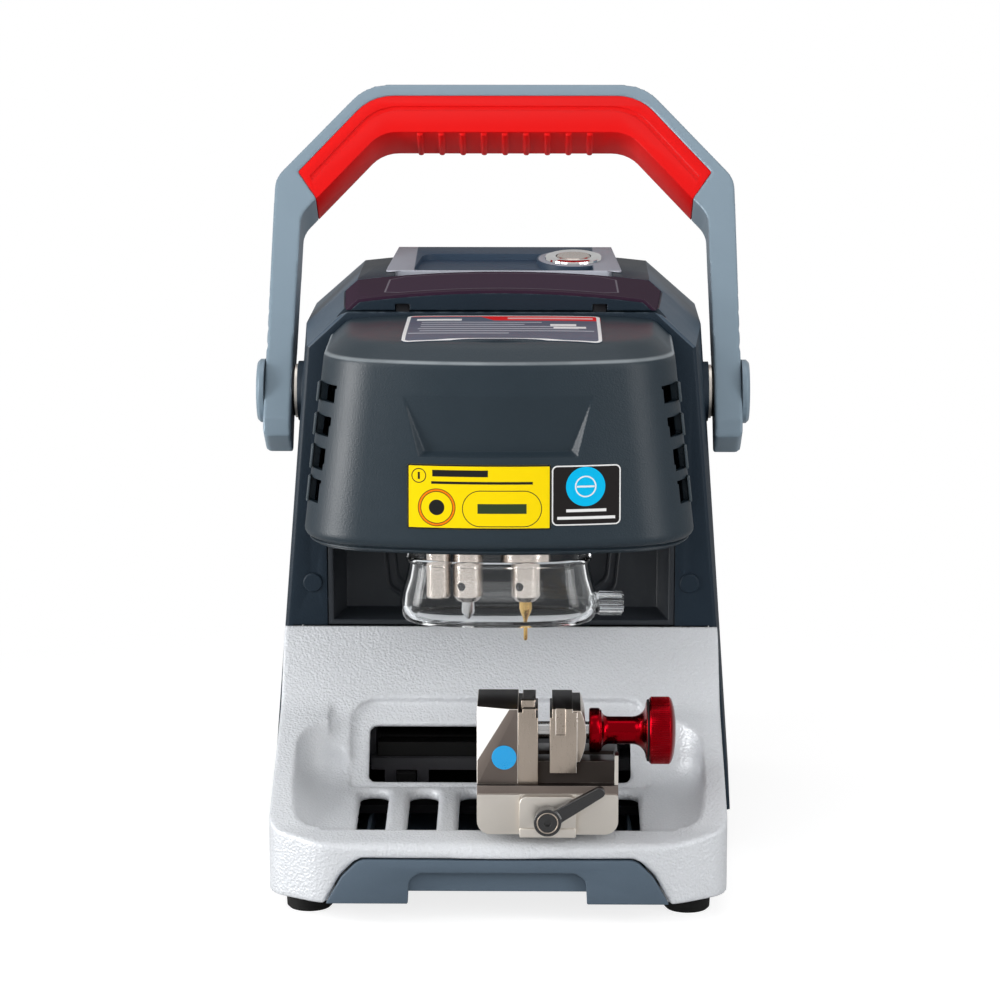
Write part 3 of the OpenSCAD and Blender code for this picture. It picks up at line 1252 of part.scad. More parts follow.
// ---- electronics ----
module main_board() color("darkgreen") {
    y0 = housing_rear_y - 22;
    block(-60, 60, y0, y0 + 1.6, 120, 225);
    for (x = [-52, 52], z = [126, 219]) rod_y(x, y0 + 1.6, housing_rear_y - 3.2, z, 3);
    block(-20, 20, y0 - 4, y0, 160, 195);
    block(-50, -34, y0 - 10, y0, 130, 150);
    block(30, 52, y0 - 8, y0, 200, 216);
}
module power_supply() color("silver") {
    difference() {
        block(6, foot_x - 9, 92, chassis_rear_y - cast_wall - 0.2, plate_top_z, 54);
        for (i = [0 : 6]) block(12 + i * 9, 16 + i * 9, 100, 126, 52, 55);
    }
}

base_casting();
base_frame();
base_plate();
feet();
foot_screws();
drawer_front();
drawer_bin();
rear_housing();
splash_panel();
screw_caps();
rear_panel();
power_inlet();
rocker_switch();
rear_top_cover();
button_bezel();
power_button();
screen_frame();
screen_glass();
screen_hinge();
head_cover();
head_underplate();
guard_post();
cutter_guard();
z_column();
z_rails();
z_screw();
z_motor();
z_carriage();
spindle_motor();
spindle_holder();
spindle_set_screw();
cutter();
probe_holder();
probe_set_screw();
probe_pin();
y_rails();
y_screw();
y_motor();
y_carriage();
x_rails();
x_screw();
x_motor();
x_carriage();
clamp_base();
clamp_block();
clamp_front_plate();
fixed_jaw();
moving_jaw();
clamp_knob();
clamp_screw();
lock_lever();
lever_bolt();
handle_frame();
handle_grip();
pivot_bolts();
pivot_washers();
pivot_bosses();
main_board();
power_supply();
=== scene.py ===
"""Finishes, moulded covers, small hardware and studio for a key duplicating machine."""

import json
import logging
import math
from contextlib import contextmanager
from dataclasses import dataclass
from enum import Enum
from typing import Callable, Iterator, Optional, Sequence, Union

import bmesh
import bpy
from mathutils import Matrix, Vector
from mathutils.bvhtree import BVHTree

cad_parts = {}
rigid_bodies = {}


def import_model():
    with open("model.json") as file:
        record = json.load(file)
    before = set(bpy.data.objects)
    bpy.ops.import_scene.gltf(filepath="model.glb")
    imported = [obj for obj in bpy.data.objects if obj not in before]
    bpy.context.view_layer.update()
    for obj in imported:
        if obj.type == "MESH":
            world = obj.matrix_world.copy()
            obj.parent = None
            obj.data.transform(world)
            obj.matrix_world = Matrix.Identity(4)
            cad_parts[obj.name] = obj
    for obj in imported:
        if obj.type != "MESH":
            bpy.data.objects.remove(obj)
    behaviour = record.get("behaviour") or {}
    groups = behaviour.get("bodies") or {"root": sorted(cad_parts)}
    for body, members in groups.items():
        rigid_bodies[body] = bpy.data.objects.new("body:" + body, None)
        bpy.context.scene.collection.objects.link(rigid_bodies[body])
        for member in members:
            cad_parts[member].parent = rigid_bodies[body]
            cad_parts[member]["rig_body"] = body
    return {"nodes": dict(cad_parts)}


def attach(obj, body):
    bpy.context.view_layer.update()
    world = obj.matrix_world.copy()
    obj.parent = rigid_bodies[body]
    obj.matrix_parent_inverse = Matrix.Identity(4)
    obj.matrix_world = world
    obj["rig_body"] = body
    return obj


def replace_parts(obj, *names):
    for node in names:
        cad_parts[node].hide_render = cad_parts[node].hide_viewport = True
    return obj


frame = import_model()
LOG = logging.getLogger("key_machine")
MM = 0.001
Color = tuple[float, float, float]
Value = Union["Sock", float]
Point = tuple[float, float, float]
Pair = tuple[float, float]
Piece = bpy.types.Object


# ---------------------------------------------------------------- shader maths
def operator(operation: str, swapped: bool = False) -> Callable[["Sock", Value], "Sock"]:
    """A method that joins a shader value with another by a Math node.

    Args:
        operation: The Math node's operation.
        swapped: Whether the other value comes first.

    Returns:
        The method.
    """
    def joined(self: "Sock", other: Value) -> "Sock":
        """The two values, joined."""
        return self.graph.math(operation, *((other, self) if swapped else (self, other)))
    return joined


class Sock:
    """A shader value. Arithmetic on it adds Math nodes to its material."""

    __add__ = __radd__ = operator("ADD")
    __mul__ = __rmul__ = operator("MULTIPLY")
    __sub__ = operator("SUBTRACT")
    __rsub__ = operator("SUBTRACT", swapped=True)
    __pow__ = operator("POWER")
    least = operator("MINIMUM")
    most = operator("MAXIMUM")

    def __init__(self, graph: "Graph", out: bpy.types.NodeSocket) -> None:
        """Wraps an output socket of a graph."""
        self.graph = graph
        self.out = out

    def __abs__(self) -> "Sock":
        """Absolute value."""
        return self.graph.math("ABSOLUTE", self)

    def ramp(self, low: float, high: float, to_low: float = 0.0, to_high: float = 1.0) -> "Sock":
        """Smooth step between two values.

        Args:
            low: Value that gives to_low.
            high: Value that gives to_high.
            to_low: Result at low and below it.
            to_high: Result at high and above it.

        Returns:
            The stepped value.
        """
        return self.graph.value("ShaderNodeMapRange", {0: self, 1: low, 2: high, 3: to_low, 4: to_high},
                                {"interpolation_type": "SMOOTHSTEP", "clamp": True})


def rgba(color: Union[Sock, Color, float]) -> object:
    """A colour with its alpha. Other values stay as they are."""
    return (*color, 1.0) if isinstance(color, tuple) else color


def add_node(tree: bpy.types.NodeTree, kind: str, values: Optional[dict] = None,
             settings: Optional[dict] = None) -> bpy.types.Node:
    """Adds a node to a tree.

    Args:
        tree: The node tree.
        kind: The node's type.
        values: Values or links of its inputs, by name or number.
        settings: Settings of the node, set before its inputs.

    Returns:
        The new node.
    """
    made = tree.nodes.new(kind)
    for key, value in (settings or {}).items():
        setattr(made, key, value)
    for key, value in (values or {}).items():
        value = value.out if isinstance(value, Sock) else value
        if isinstance(value, bpy.types.NodeSocket):
            tree.links.new(value, made.inputs[key])
        else:
            made.inputs[key].default_value = value
    return made


class Graph:
    """The node tree of one material or world."""

    def __init__(self, name: str, world: Optional[bpy.types.World] = None) -> None:
        """Starts an empty tree.

        Args:
            name: Name of the new material.
            world: A world to shade in place of a material.
        """
        self.material = world or bpy.data.materials.new(name)
        self.material.use_nodes = True
        self.tree = self.material.node_tree
        self.tree.nodes.clear()

    def node(self, kind: str, values: Optional[dict] = None,
             settings: Optional[dict] = None) -> bpy.types.Node:
        """Adds a node: settings first, then the values or links of its inputs."""
        return add_node(self.tree, kind, values, settings)

    def value(self, kind: str, values: Optional[dict] = None, settings: Optional[dict] = None,
              output: Union[int, str] = 0) -> Sock:
        """Adds a node and gives one of its outputs."""
        return Sock(self, self.node(kind, values, settings).outputs[output])

    def math(self, operation: str, *values: Value) -> Sock:
        """Adds a Math node for some values."""
        return self.value("ShaderNodeMath", dict(enumerate(values)), {"operation": operation})

    def place(self, stretch: Point = (1, 1, 1)) -> Sock:
        """Object coordinates, stretched."""
        coordinates = self.value("ShaderNodeTexCoord", output="Object")
        return self.value("ShaderNodeMapping", {0: coordinates, 3: stretch})

    def axes(self, source: Sock) -> list[Sock]:
        """The three parts of a vector."""
        return [Sock(self, out) for out in self.node("ShaderNodeSeparateXYZ", {0: source}).outputs]

    def millimetres(self) -> list[Sock]:
        """X, Y and Z of the object coordinates, in millimetres."""
        return self.axes(self.place((1 / MM, 1 / MM, 1 / MM)))

    def noise(self, size: float, place: Optional[Sock] = None, detail: float = 2.0) -> Sock:
        """Noise with spots of a size in millimetres."""
        values = {"Vector": place or self.place(), "Scale": 1 / (size * MM), "Detail": detail}
        return self.value("ShaderNodeTexNoise", values)

    def cells(self, size: float) -> Sock:
        """Round dimples of a size in millimetres."""
        values = {"Vector": self.place(), "Scale": 1 / (size * MM), "Smoothness": 0.6}
        return self.value("ShaderNodeTexVoronoi", values, {"feature": "SMOOTH_F1"}, "Distance")

    def blend(self, amount: Value, low: Union[Sock, Color], high: Union[Sock, Color]) -> Sock:
        """Mixes two colours."""
        return self.value("ShaderNodeMix", {0: amount, 6: rgba(low), 7: rgba(high)}, {"data_type": "RGBA"}, 2)

    def scaled(self, color: Union[Sock, Color], tone: Sock) -> Sock:
        """A colour made lighter or darker."""
        return self.value("ShaderNodeVectorMath", {0: color, "Scale": tone}, {"operation": "SCALE"})

    def soft_edge(self, radius: float) -> Sock:
        """Normal with the sharp edges rounded, for a radius in millimetres."""
        return self.value("ShaderNodeBevel", {0: radius * MM}, {"samples": 6})

    def edge_mask(self, soft: Sock) -> Sock:
        """Finds the edges.

        Args:
            soft: The normal with the edges rounded.

        Returns:
            One where that normal leaves the true one, zero elsewhere.
        """
        true = self.value("ShaderNodeNewGeometry", output="Normal")
        dot = self.value("ShaderNodeVectorMath", {0: soft, 1: true}, {"operation": "DOT_PRODUCT"}, "Value")
        return (1 - dot).ramp(0.02, 0.25)

    def bump(self, height: Sock, depth: float, normal: Optional[Sock] = None) -> Sock:
        """Adds relief.

        Args:
            height: The relief, from 0 to 1.
            depth: Its depth in millimetres.
            normal: The normal that it is laid on, or none for the surface's own.

        Returns:
            The new normal.
        """
        values = {"Height": height, "Distance": depth * MM, "Strength": 1.0}
        if normal is not None:
            values["Normal"] = normal
        return self.value("ShaderNodeBump", values)

    def end(self, shader: bpy.types.Node) -> bpy.types.Material:
        """Ends the tree with a shader and gives the finished material."""
        self.node("ShaderNodeOutputMaterial", {0: shader.outputs[0]})
        return self.material

    def finish(self, values: dict[str, object]) -> bpy.types.Material:
        """Ends the tree with the Principled shader, given its inputs by name."""
        inputs = {key: rgba(value) for key, value in values.items()}
        return self.end(self.node("ShaderNodeBsdfPrincipled", inputs))


class Streak(Enum):
    """Direction of the fine lines that machining leaves."""

    NONE = (1.0, 1.0, 1.0)
    ALONG_X = (0.04, 1.0, 1.0)
    ALONG_Y = (1.0, 0.04, 1.0)
    ALONG_Z = (1.0, 1.0, 0.04)


@dataclass(frozen=True)
class Finish:
    """A solid finish: colour, gloss, grain, peel, lighter edges that are real wear on most finishes and
    painted highlight on some, and a painted highlight line at one height.
    """

    name: str
    color: Color
    rough: float = 0.5
    metal: float = 0.0
    coat: float = 0.0
    grain: float = 0.5
    grain_depth: float = 0.0
    peel: float = 1.0
    peel_depth: float = 0.0
    mottle: float = 0.05
    streak: Streak = Streak.NONE
    streak_depth: float = 0.004
    edge: float = 0.5
    wear_and_highlight: float = 0.0
    wear_and_highlight_color: Color = (0.6, 0.6, 0.6)
    fleck: float = 0.0
    specular: float = 0.5
    # Height in millimetres of a painted highlight line along a crease, nought for none.
    painted_highlight_z: float = 0.0

    def make(self) -> bpy.types.Material:
        """Builds the material."""
        g = Graph(self.name)
        cloud = g.noise(22.0, detail=3.0)
        fine = g.noise(self.grain)
        tone = 1 + (cloud - 0.5) * (2 * self.mottle) + (fine - 0.5) * self.mottle
        base = g.scaled(self.color, tone)
        normal = g.soft_edge(self.edge)
        rough = (self.rough + (cloud - 0.5) * 0.12 + (fine - 0.5) * 0.08).most(0.04).least(0.98)
        if self.fleck > 0:
            spark = g.noise(0.45, detail=0.0).ramp(0.6, 0.75)
            base = g.blend(spark * self.fleck, base, tuple(min(1.0, c * 1.25 + 0.02) for c in self.color))
        # Lighter patches along the edges: real wear on most finishes, painted highlight where the housing's
        # chamfer edges catch the light.
        if self.wear_and_highlight > 0:
            worn_and_lit = g.edge_mask(normal) * g.noise(6.0, detail=4.0).ramp(0.4, 0.62) * self.wear_and_highlight
            base = g.blend(worn_and_lit, base, self.wear_and_highlight_color)
        # Painted highlight: a lighter band along the crease at this height, standing in for the light that
        # the crease catches.
        if self.painted_highlight_z > 0:
            near = 1 - abs(g.millimetres()[2] - self.painted_highlight_z).ramp(0.2, 1.0)
            base = g.blend(near * g.noise(30.0).ramp(0.3, 0.7, 0.55, 1.0), base, self.wear_and_highlight_color)
        if self.peel_depth > 0:
            normal = g.bump(g.cells(self.peel) + g.noise(self.peel * 0.7) * 0.8, self.peel_depth, normal)
        if self.grain_depth > 0:
            normal = g.bump(fine, self.grain_depth, normal)
        if self.streak is not Streak.NONE:
            lines = g.noise(0.22, g.place(self.streak.value))
            rough = rough + (lines - 0.5) * 0.18
            normal = g.bump(lines, self.streak_depth, normal)
        return g.finish({"Base Color": base, "Roughness": rough, "Metallic": self.metal,
                         "Coat Weight": self.coat, "Coat Roughness": 0.12,
                         "Specular IOR Level": self.specular, "Normal": normal})


@dataclass(frozen=True)
class ClearPlastic:
    """Clear moulded plastic."""

    name: str = "clear_plastic"
    tint: Color = (0.97, 0.985, 0.99)
    rough: float = 0.02
    ior: float = 1.32

    def make(self) -> bpy.types.Material:
        """Builds the material."""
        g = Graph(self.name)
        rough = self.rough + g.noise(14.0, detail=3.0) * 0.03
        normal = g.bump(g.noise(9.0, detail=1.0), 0.05)
        return g.finish({"Base Color": self.tint, "Roughness": rough, "Transmission Weight": 1.0,
                         "IOR": self.ior, "Normal": normal})


@dataclass(frozen=True)
class ScreenGlass:
    """Dark tinted glass over a display that is off, with the thin outline of the display."""

    name: str = "screen_tinted_glass"
    color: Color = (0.030, 0.011, 0.028)
    display: Color = (0.045, 0.022, 0.046)
    outline: Color = (0.16, 0.14, 0.17)
    half_width: float = 56.0
    front: float = -17.0
    rear: float = 49.0
    cut: float = 5.0
    gloss: float = 0.05

    def make(self) -> bpy.types.Material:
        """Builds the material."""
        g = Graph(self.name)
        x, y, _ = g.millimetres()
        side = abs(x) - self.half_width
        end = abs(y - (self.front + self.rear) / 2) - (self.rear - self.front) / 2
        corner = (side + end) * math.sqrt(0.5) + self.cut
        reach = side.most(end).most(corner)
        base = g.blend((1 - reach.ramp(-0.1, 0.1)) * 0.5, self.color, self.display)
        base = g.blend(1 - abs(reach).ramp(0.25, 0.6), base, self.outline)
        dust = g.noise(3.0, detail=4.0)
        tint = g.node("ShaderNodeBsdfPrincipled",
                      {"Base Color": base, "Roughness": 0.5, "Specular IOR Level": 0.0})
        sheen = g.node("ShaderNodeBsdfGlossy", {"Roughness": 0.06 + dust * 0.08, "Normal": g.soft_edge(0.5)})
        return g.end(g.node("ShaderNodeMixShader", {0: self.gloss, 1: tint.outputs[0], 2: sheen.outputs[0]}))


@dataclass(frozen=True)
class RecessedPlastic:
    """Grey moulded plastic, blue in its recess but for a pad round the button, painted pale along its front
    edge as painted light where the front catches the lamps.
    """

    name: str = "grey_and_blue_plastic"
    grey: Color = (0.27, 0.285, 0.33)
    # Painted light for the front edge and face, which catch the lamps.
    pale: Color = (0.50, 0.52, 0.59)
    blue: Color = (0.030, 0.052, 0.086)
    half_width: float = 45.5
    front: float = 77.2
    pad: Point = (35.5, 104.0, 18.0)

    def make(self) -> bpy.types.Material:
        """Builds the material. The pad is its X, its Y and its radius."""
        g = Graph(self.name)
        x, y, _ = g.millimetres()
        away_x, away_y = x - self.pad[0], y - self.pad[1]
        away = (away_x * away_x + away_y * away_y) ** 0.5 - self.pad[2]
        behind = (y - self.front).ramp(-0.3, 0.3)
        sunk = (1 - (abs(x) - self.half_width).ramp(-0.3, 0.3)) * behind * away.ramp(-0.3, 0.3)
        tone = 1 + (g.noise(22.0, detail=3.0) - 0.5) * 0.12
        # Painted light: everything in front of the front line is pale, for the front edge and face that catch
        # the lamps.
        color = g.blend(sunk, g.blend(behind, self.pale, self.grey), self.blue)
        normal = g.bump(g.noise(0.5), 0.04, g.soft_edge(0.6))
        return g.finish({"Base Color": g.scaled(color, tone), "Roughness": 0.46 + g.noise(0.7) * 0.08,
                         "Specular IOR Level": 0.2, "Normal": normal})


class Shape(Enum):
    """Outline of a printed mark."""

    BAR = "bar"
    RING = "ring"
    DISC = "disc"
    PILL = "pill"


@dataclass(frozen=True)
class Mark:
    """One printed mark: a bar, ring, disc or pill outline, in millimetres from the plate's centre."""

    shape: Shape
    x: float
    y: float
    w: float
    h: float
    color: Color
    line: float = 0.5
    skew: float = 0.0

    def mask(self, u: Sock, v: Sock) -> Sock:
        """How far a point lies in the mark.

        Args:
            u: Millimetres across the plate.
            v: Millimetres up the plate.

        Returns:
            One inside the mark, zero outside it.
        """
        px = u - self.x - (v - self.y) * self.skew
        py = v - self.y
        if self.shape is Shape.BAR:
            reach = (abs(px) - self.w / 2).most(abs(py) - self.h / 2)
        elif self.shape is Shape.PILL:
            run = (abs(px) - (self.w - self.h) / 2).most(0.0)
            reach = abs((run * run + py * py) ** 0.5 - self.h / 2) - self.line / 2
        else:
            reach = (px * px + py * py) ** 0.5 - self.w / 2
            if self.shape is Shape.RING:
                reach = abs(reach) - self.line / 2
        return 1 - reach.ramp(-0.06, 0.06)


UV_SCALE = 100.0


@dataclass(frozen=True)
class PrintedPlate:
    """Printed film: a ground colour with a border and plain marks, on the plate's own UV map."""

    name: str
    ground: Color
    border: Color
    size: Pair
    inset: float
    line: float
    corner: float
    marks: tuple[Mark, ...]

    def make(self) -> bpy.types.Material:
        """Builds the material."""
        g = Graph(self.name)
        u, v, _ = g.axes(g.value("ShaderNodeUVMap", None, {"uv_map": "UVMap"}))
        u, v = u * UV_SCALE, v * UV_SCALE
        half_w, half_h = (side / 2 - self.inset - self.corner for side in self.size)
        run_x, run_y = (abs(u) - half_w).most(0.0), (abs(v) - half_h).most(0.0)
        reach = abs((run_x * run_x + run_y * run_y) ** 0.5 - self.corner) - self.line / 2
        color = g.blend(g.noise(9.0) * 0.12, self.ground, tuple(c * 0.8 for c in self.ground))
        for mark in self.marks:
            color = g.blend(mark.mask(u, v), color, mark.color)
        color = g.blend(1 - reach.ramp(-0.06, 0.06), color, self.border)
        normal = g.bump(g.noise(0.6), 0.006, g.soft_edge(0.3))
        return g.finish({"Base Color": color, "Roughness": 0.34 + g.noise(5.0) * 0.12,
                         "Specular IOR Level": 0.12, "Normal": normal})


AnyFinish = Union[Finish, ClearPlastic, ScreenGlass, RecessedPlastic, PrintedPlate]


def material(finish: AnyFinish) -> bpy.types.Material:
    """The material of a finish, built at its first use."""
    return bpy.data.materials.get(finish.name) or finish.make()


CAST = Finish("hammered_silver_paint", (0.635, 0.655, 0.685), 0.42, 0.10, coat=0.08, grain=0.8,
              grain_depth=0.06, peel=1.25, peel_depth=0.26, mottle=0.02, edge=1.0, fleck=0.3, specular=0.4)
NAVY = Finish("navy_textured_plastic", (0.011, 0.021, 0.033), grain_depth=0.05, peel_depth=0.05, mottle=0.07,
              edge=1.0, wear_and_highlight=0.5, wear_and_highlight_color=(0.10, 0.13, 0.155), specular=0.18)
# Painted light: a paler navy with bright edges for the housing's upward-facing chamfers, standing in for the
# light they catch and the highlight along their front edge.
NAVY_PAINTED_HIGHLIGHT = Finish("navy_chamfer_painted_highlight", (0.050, 0.075, 0.105), 0.48, grain_depth=0.05, peel_depth=0.05,
                    mottle=0.07, edge=1.0, wear_and_highlight=0.9, wear_and_highlight_color=(0.45, 0.50, 0.54), specular=0.3)
# Its lighter second colour is painted highlight only: a line along the crease at 253.6 mm, where the crease
# catches the light.
HEAD = Finish("slate_moulded_plastic", (0.014, 0.025, 0.035), 0.42, grain_depth=0.05, peel=0.9,
              peel_depth=0.05, edge=0.4, wear_and_highlight_color=(0.24, 0.27, 0.29), painted_highlight_z=253.6, specular=0.32)
LIP = Finish("slate_vent_lips", (0.040, 0.055, 0.066), 0.42, grain_depth=0.04, edge=0.3, wear_and_highlight=0.7,
             wear_and_highlight_color=(0.20, 0.23, 0.25), specular=0.25)
DRAWER = Finish("slate_drawer_paint", (0.085, 0.118, 0.155), grain=0.55, grain_depth=0.06, peel=1.2,
                peel_depth=0.06, edge=0.7, wear_and_highlight=0.4, wear_and_highlight_color=(0.28, 0.34, 0.39), specular=0.2)
BLACK = Finish("black_plastic", (0.008, 0.008, 0.009), 0.42, grain_depth=0.03, specular=0.2)
DARK_PANEL = Finish("dark_splash_plastic", (0.022, 0.026, 0.032), 0.42, grain=0.6, grain_depth=0.04, edge=0.8,
                    specular=0.25)
RUBBER = Finish("black_rubber", (0.010, 0.010, 0.010), 0.72, grain=0.7, grain_depth=0.05, mottle=0.15,
                edge=0.8, specular=0.2)
ZINC = Finish("zinc_sheet", (0.50, 0.51, 0.52), 0.38, 1.0, grain=3.0, mottle=0.10, edge=0.4)
GROUND = Finish("ground_steel", (0.66, 0.66, 0.66), 0.22, 1.0, streak=Streak.ALONG_Y, edge=0.3)
MOTOR = Finish("motor_black", (0.018, 0.018, 0.02), 0.40, 0.2, grain_depth=0.02)
ALU = Finish("machined_aluminium", (0.66, 0.67, 0.69), 0.30, 1.0, streak=Streak.ALONG_X, streak_depth=0.006)
IRON = Finish("cast_frame_paint", (0.10, 0.12, 0.14), 0.52, 0.2, grain=1.2, grain_depth=0.12, edge=1.2)
NICKEL = Finish("satin_nickel", (0.60, 0.505, 0.44), 0.27, 1.0, grain_depth=0.01, streak=Streak.ALONG_X,
                streak_depth=0.005, edge=0.45, wear_and_highlight=0.35, wear_and_highlight_color=(0.90, 0.85, 0.80))
NICKEL_JAW = Finish("satin_nickel_jaw", (0.50, 0.425, 0.36), 0.30, 1.0, grain_depth=0.01, mottle=0.06,
                    streak=Streak.ALONG_Z, streak_depth=0.006, edge=0.4, wear_and_highlight=0.6,
                    wear_and_highlight_color=(0.88, 0.83, 0.78))
NICKEL_DARK = Finish("dark_nickel_top", (0.042, 0.034, 0.030), 0.36, 0.9, grain_depth=0.015, mottle=0.10,
                     edge=0.3, wear_and_highlight=0.8, wear_and_highlight_color=(0.45, 0.42, 0.39))
NICKEL_BLASTED = Finish("blasted_nickel", (0.18, 0.150, 0.133), 0.50, 0.9, grain=0.45, grain_depth=0.035,
                        mottle=0.12, edge=0.3, wear_and_highlight=0.8, wear_and_highlight_color=(0.80, 0.76, 0.72))
# Painted highlight: near-white nickel for bevel faces that face the lamps.
NICKEL_PAINTED_HIGHLIGHT = Finish("nickel_painted_highlight", (0.93, 0.91, 0.89), 0.40, 0.5, mottle=0.02, edge=0.2)
HOLDER = Finish("turned_steel", (0.56, 0.50, 0.455), 0.25, 1.0, streak=Streak.ALONG_X, streak_depth=0.006,
                edge=0.4)
CHROME = Finish("bright_chrome", (0.80, 0.80, 0.80), 0.09, 1.0, mottle=0.02, edge=0.3)
GOLD = Finish("titanium_gold", (0.80, 0.53, 0.20), 0.24, 1.0, streak=Streak.ALONG_Z, edge=0.2)
RED_METAL = Finish("red_anodised", (0.30, 0.001, 0.006), 0.22, 1.0, grain=0.4, grain_depth=0.006, mottle=0.04,
                   edge=0.4, wear_and_highlight=0.2, wear_and_highlight_color=(0.85, 0.20, 0.20), specular=0.1)
HANDLE = Finish("blue_grey_satin_paint", (0.215, 0.285, 0.345), 0.36, 0.10, coat=0.05, grain=0.6,
                grain_depth=0.03, mottle=0.03, edge=0.9, specular=0.3)
GRIP = Finish("red_soft_grip", (0.72, 0.004, 0.004), 0.42, grain_depth=0.02, mottle=0.02, edge=0.8,
              specular=0.14)
LEVER = Finish("black_oxide", (0.010, 0.010, 0.011), 0.22, coat=0.5, grain_depth=0.02, edge=0.4, wear_and_highlight=0.4,
               wear_and_highlight_color=(0.20, 0.20, 0.20))
BOARD = Finish("circuit_board", (0.010, 0.10, 0.035), 0.35, coat=0.4, grain=1.5, grain_depth=0.01, edge=0.2)
FRAME_BLACK = Finish("black_painted_frame", (0.005, 0.005, 0.006), 0.55, grain=0.9, grain_depth=0.06,
                     edge=0.6, specular=0.15)
OXIDE = Finish("black_oxide_steel", (0.006, 0.006, 0.006), 0.40, streak=Streak.ALONG_X, edge=0.3,
               specular=0.15)
BLUE_SPOT = Finish("blue_spot", (0.0, 0.33, 0.72), 0.3, coat=0.5, edge=0.2)
HUMP = RecessedPlastic()
CLEAR = ClearPlastic()
SCREEN = ScreenGlass()
WHITE: Color = (0.78, 0.78, 0.78)
INK: Color = (0.012, 0.012, 0.012)

WORN_BY: tuple[tuple[AnyFinish, str], ...] = (
    (CAST, "base_casting"), (FRAME_BLACK, "base_frame"), (ZINC, "base_plate foot_screws power_supply"),
    (RUBBER, "feet pivot_washers"), (DRAWER, "drawer_front drawer_bin"),
    (NAVY, "rear_housing screw_caps screen_frame"), (DARK_PANEL, "splash_panel"), (HUMP, "rear_top_cover"),
    (BLACK, "rear_panel power_inlet rocker_switch screen_hinge head_underplate spindle_set_screw "
            "probe_set_screw y_carriage x_carriage"),
    (CHROME, "button_bezel"), (SCREEN, "screen_glass"), (HEAD, "head_cover"), (CLEAR, "cutter_guard"),
    (HOLDER, "power_button guard_post spindle_motor spindle_holder probe_holder"), (IRON, "z_column"),
    (GROUND, "z_rails z_screw probe_pin clamp_screw"), (MOTOR, "z_motor y_motor x_motor"),
    (ALU, "z_carriage"), (GOLD, "cutter"), (OXIDE, "y_rails y_screw x_rails x_screw"), (BOARD, "main_board"),
    (NICKEL, "clamp_base clamp_block clamp_front_plate fixed_jaw moving_jaw pivot_bolts"),
    (RED_METAL, "clamp_knob"), (LEVER, "lock_lever lever_bolt"), (HANDLE, "handle_frame pivot_bosses"),
    (GRIP, "handle_grip"))
FINISHES: dict[str, AnyFinish] = {node: finish for finish, nodes in WORN_BY for node in nodes.split()}


# ---------------------------------------------------------------- mesh work
def mesh_object(name: str, points: Sequence[Point], faces: Sequence[Sequence[int]]) -> Piece:
    """Makes a mesh object at the origin.

    Args:
        name: Its name.
        points: Its points, in metres.
        faces: Its faces, as numbers of points.

    Returns:
        The object.
    """
    mesh = bpy.data.meshes.new(name)
    mesh.from_pydata(points, [], faces)
    piece = bpy.data.objects.new(name, mesh)
    bpy.context.scene.collection.objects.link(piece)
    return piece


@contextmanager
def editing(piece: Piece) -> Iterator[bmesh.types.BMesh]:
    """Opens a piece's mesh for editing and writes it back at the end.

    Args:
        piece: The piece.

    Yields:
        The mesh in its editable form.
    """
    work = bmesh.new()
    work.from_mesh(piece.data)
    yield work
    work.to_mesh(piece.data)
    work.free()


def applied(piece: Piece) -> Piece:
    """Turns the modifiers of a piece into plain mesh.

    Args:
        piece: The piece.

    Returns:
        The piece.
    """
    graph = bpy.context.evaluated_depsgraph_get()
    graph.update()
    mesh = bpy.data.meshes.new_from_object(piece.evaluated_get(graph))
    old = piece.data
    piece.modifiers.clear()
    piece.data = mesh
    bpy.data.meshes.remove(old)
    return piece


def modified(piece: Piece, kind: str, **settings: object) -> Piece:
    """Shapes a piece with one modifier, which becomes plain mesh.

    Args:
        piece: The piece.
        kind: The modifier's type.
        **settings: Settings of the modifier.

    Returns:
        The piece.
    """
    modifier = piece.modifiers.new("shaping", kind)
    for key, value in settings.items():
        setattr(modifier, key, value)
    return applied(piece)


def smooth(piece: Piece, angle: float = 35.0) -> Piece:
    """Shades a piece smooth.

    Args:
        piece: The piece.
        angle: Edges sharper than this many degrees stay sharp. None do at 180.

    Returns:
        The piece.
    """
    piece.data.shade_smooth()
    if angle < 180:
        piece.data.set_sharp_from_angle(angle=math.radians(angle))
    return piece


def dress(piece: Piece, finish: AnyFinish) -> Piece:
    """Gives a piece one finish.

    Args:
        piece: The piece.
        finish: Its finish.

    Returns:
        The piece.
    """
    piece.data.materials.clear()
    piece.data.materials.append(material(finish))
    return piece


def outward(piece: Piece, merge: float = 1e-6) -> Piece:
    """Merges doubles and turns the faces outwards.

    Args:
        piece: The piece.
        merge: Points closer than this, in metres, are doubles.

    Returns:
        The piece.
    """
    with editing(piece) as work:
        bmesh.ops.remove_doubles(work, verts=work.verts, dist=merge)
        bmesh.ops.recalc_face_normals(work, faces=work.faces)
    return piece


def tinted(piece: Piece, finish: AnyFinish, test: Callable[[Vector, Vector], bool]) -> Piece:
    """Gives some faces of a piece another finish.

    Args:
        piece: The piece, with its first finish.
        finish: The other finish.
        test: Tells from a face's centre, in millimetres, and normal whether it takes the other finish.

    Returns:
        The piece.
    """
    piece.data.materials.append(material(finish))
    slot = len(piece.data.materials) - 1
    for face in piece.data.polygons:
        if test(face.center / MM, face.normal):
            face.material_index = slot
    return piece


def beside(piece: Piece, node: str, finish: AnyFinish) -> Piece:
    """Puts a piece on the body of a CAD node.

    Args:
        piece: The piece.
        node: The CAD node.
        finish: The piece's finish, where it has none yet.

    Returns:
        The piece.
    """
    if not piece.data.materials:
        dress(piece, finish)
    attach(piece, frame["nodes"][node]["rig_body"])
    LOG.info("%s rides with %s: %d faces", piece.name, node, len(piece.data.polygons))
    return piece


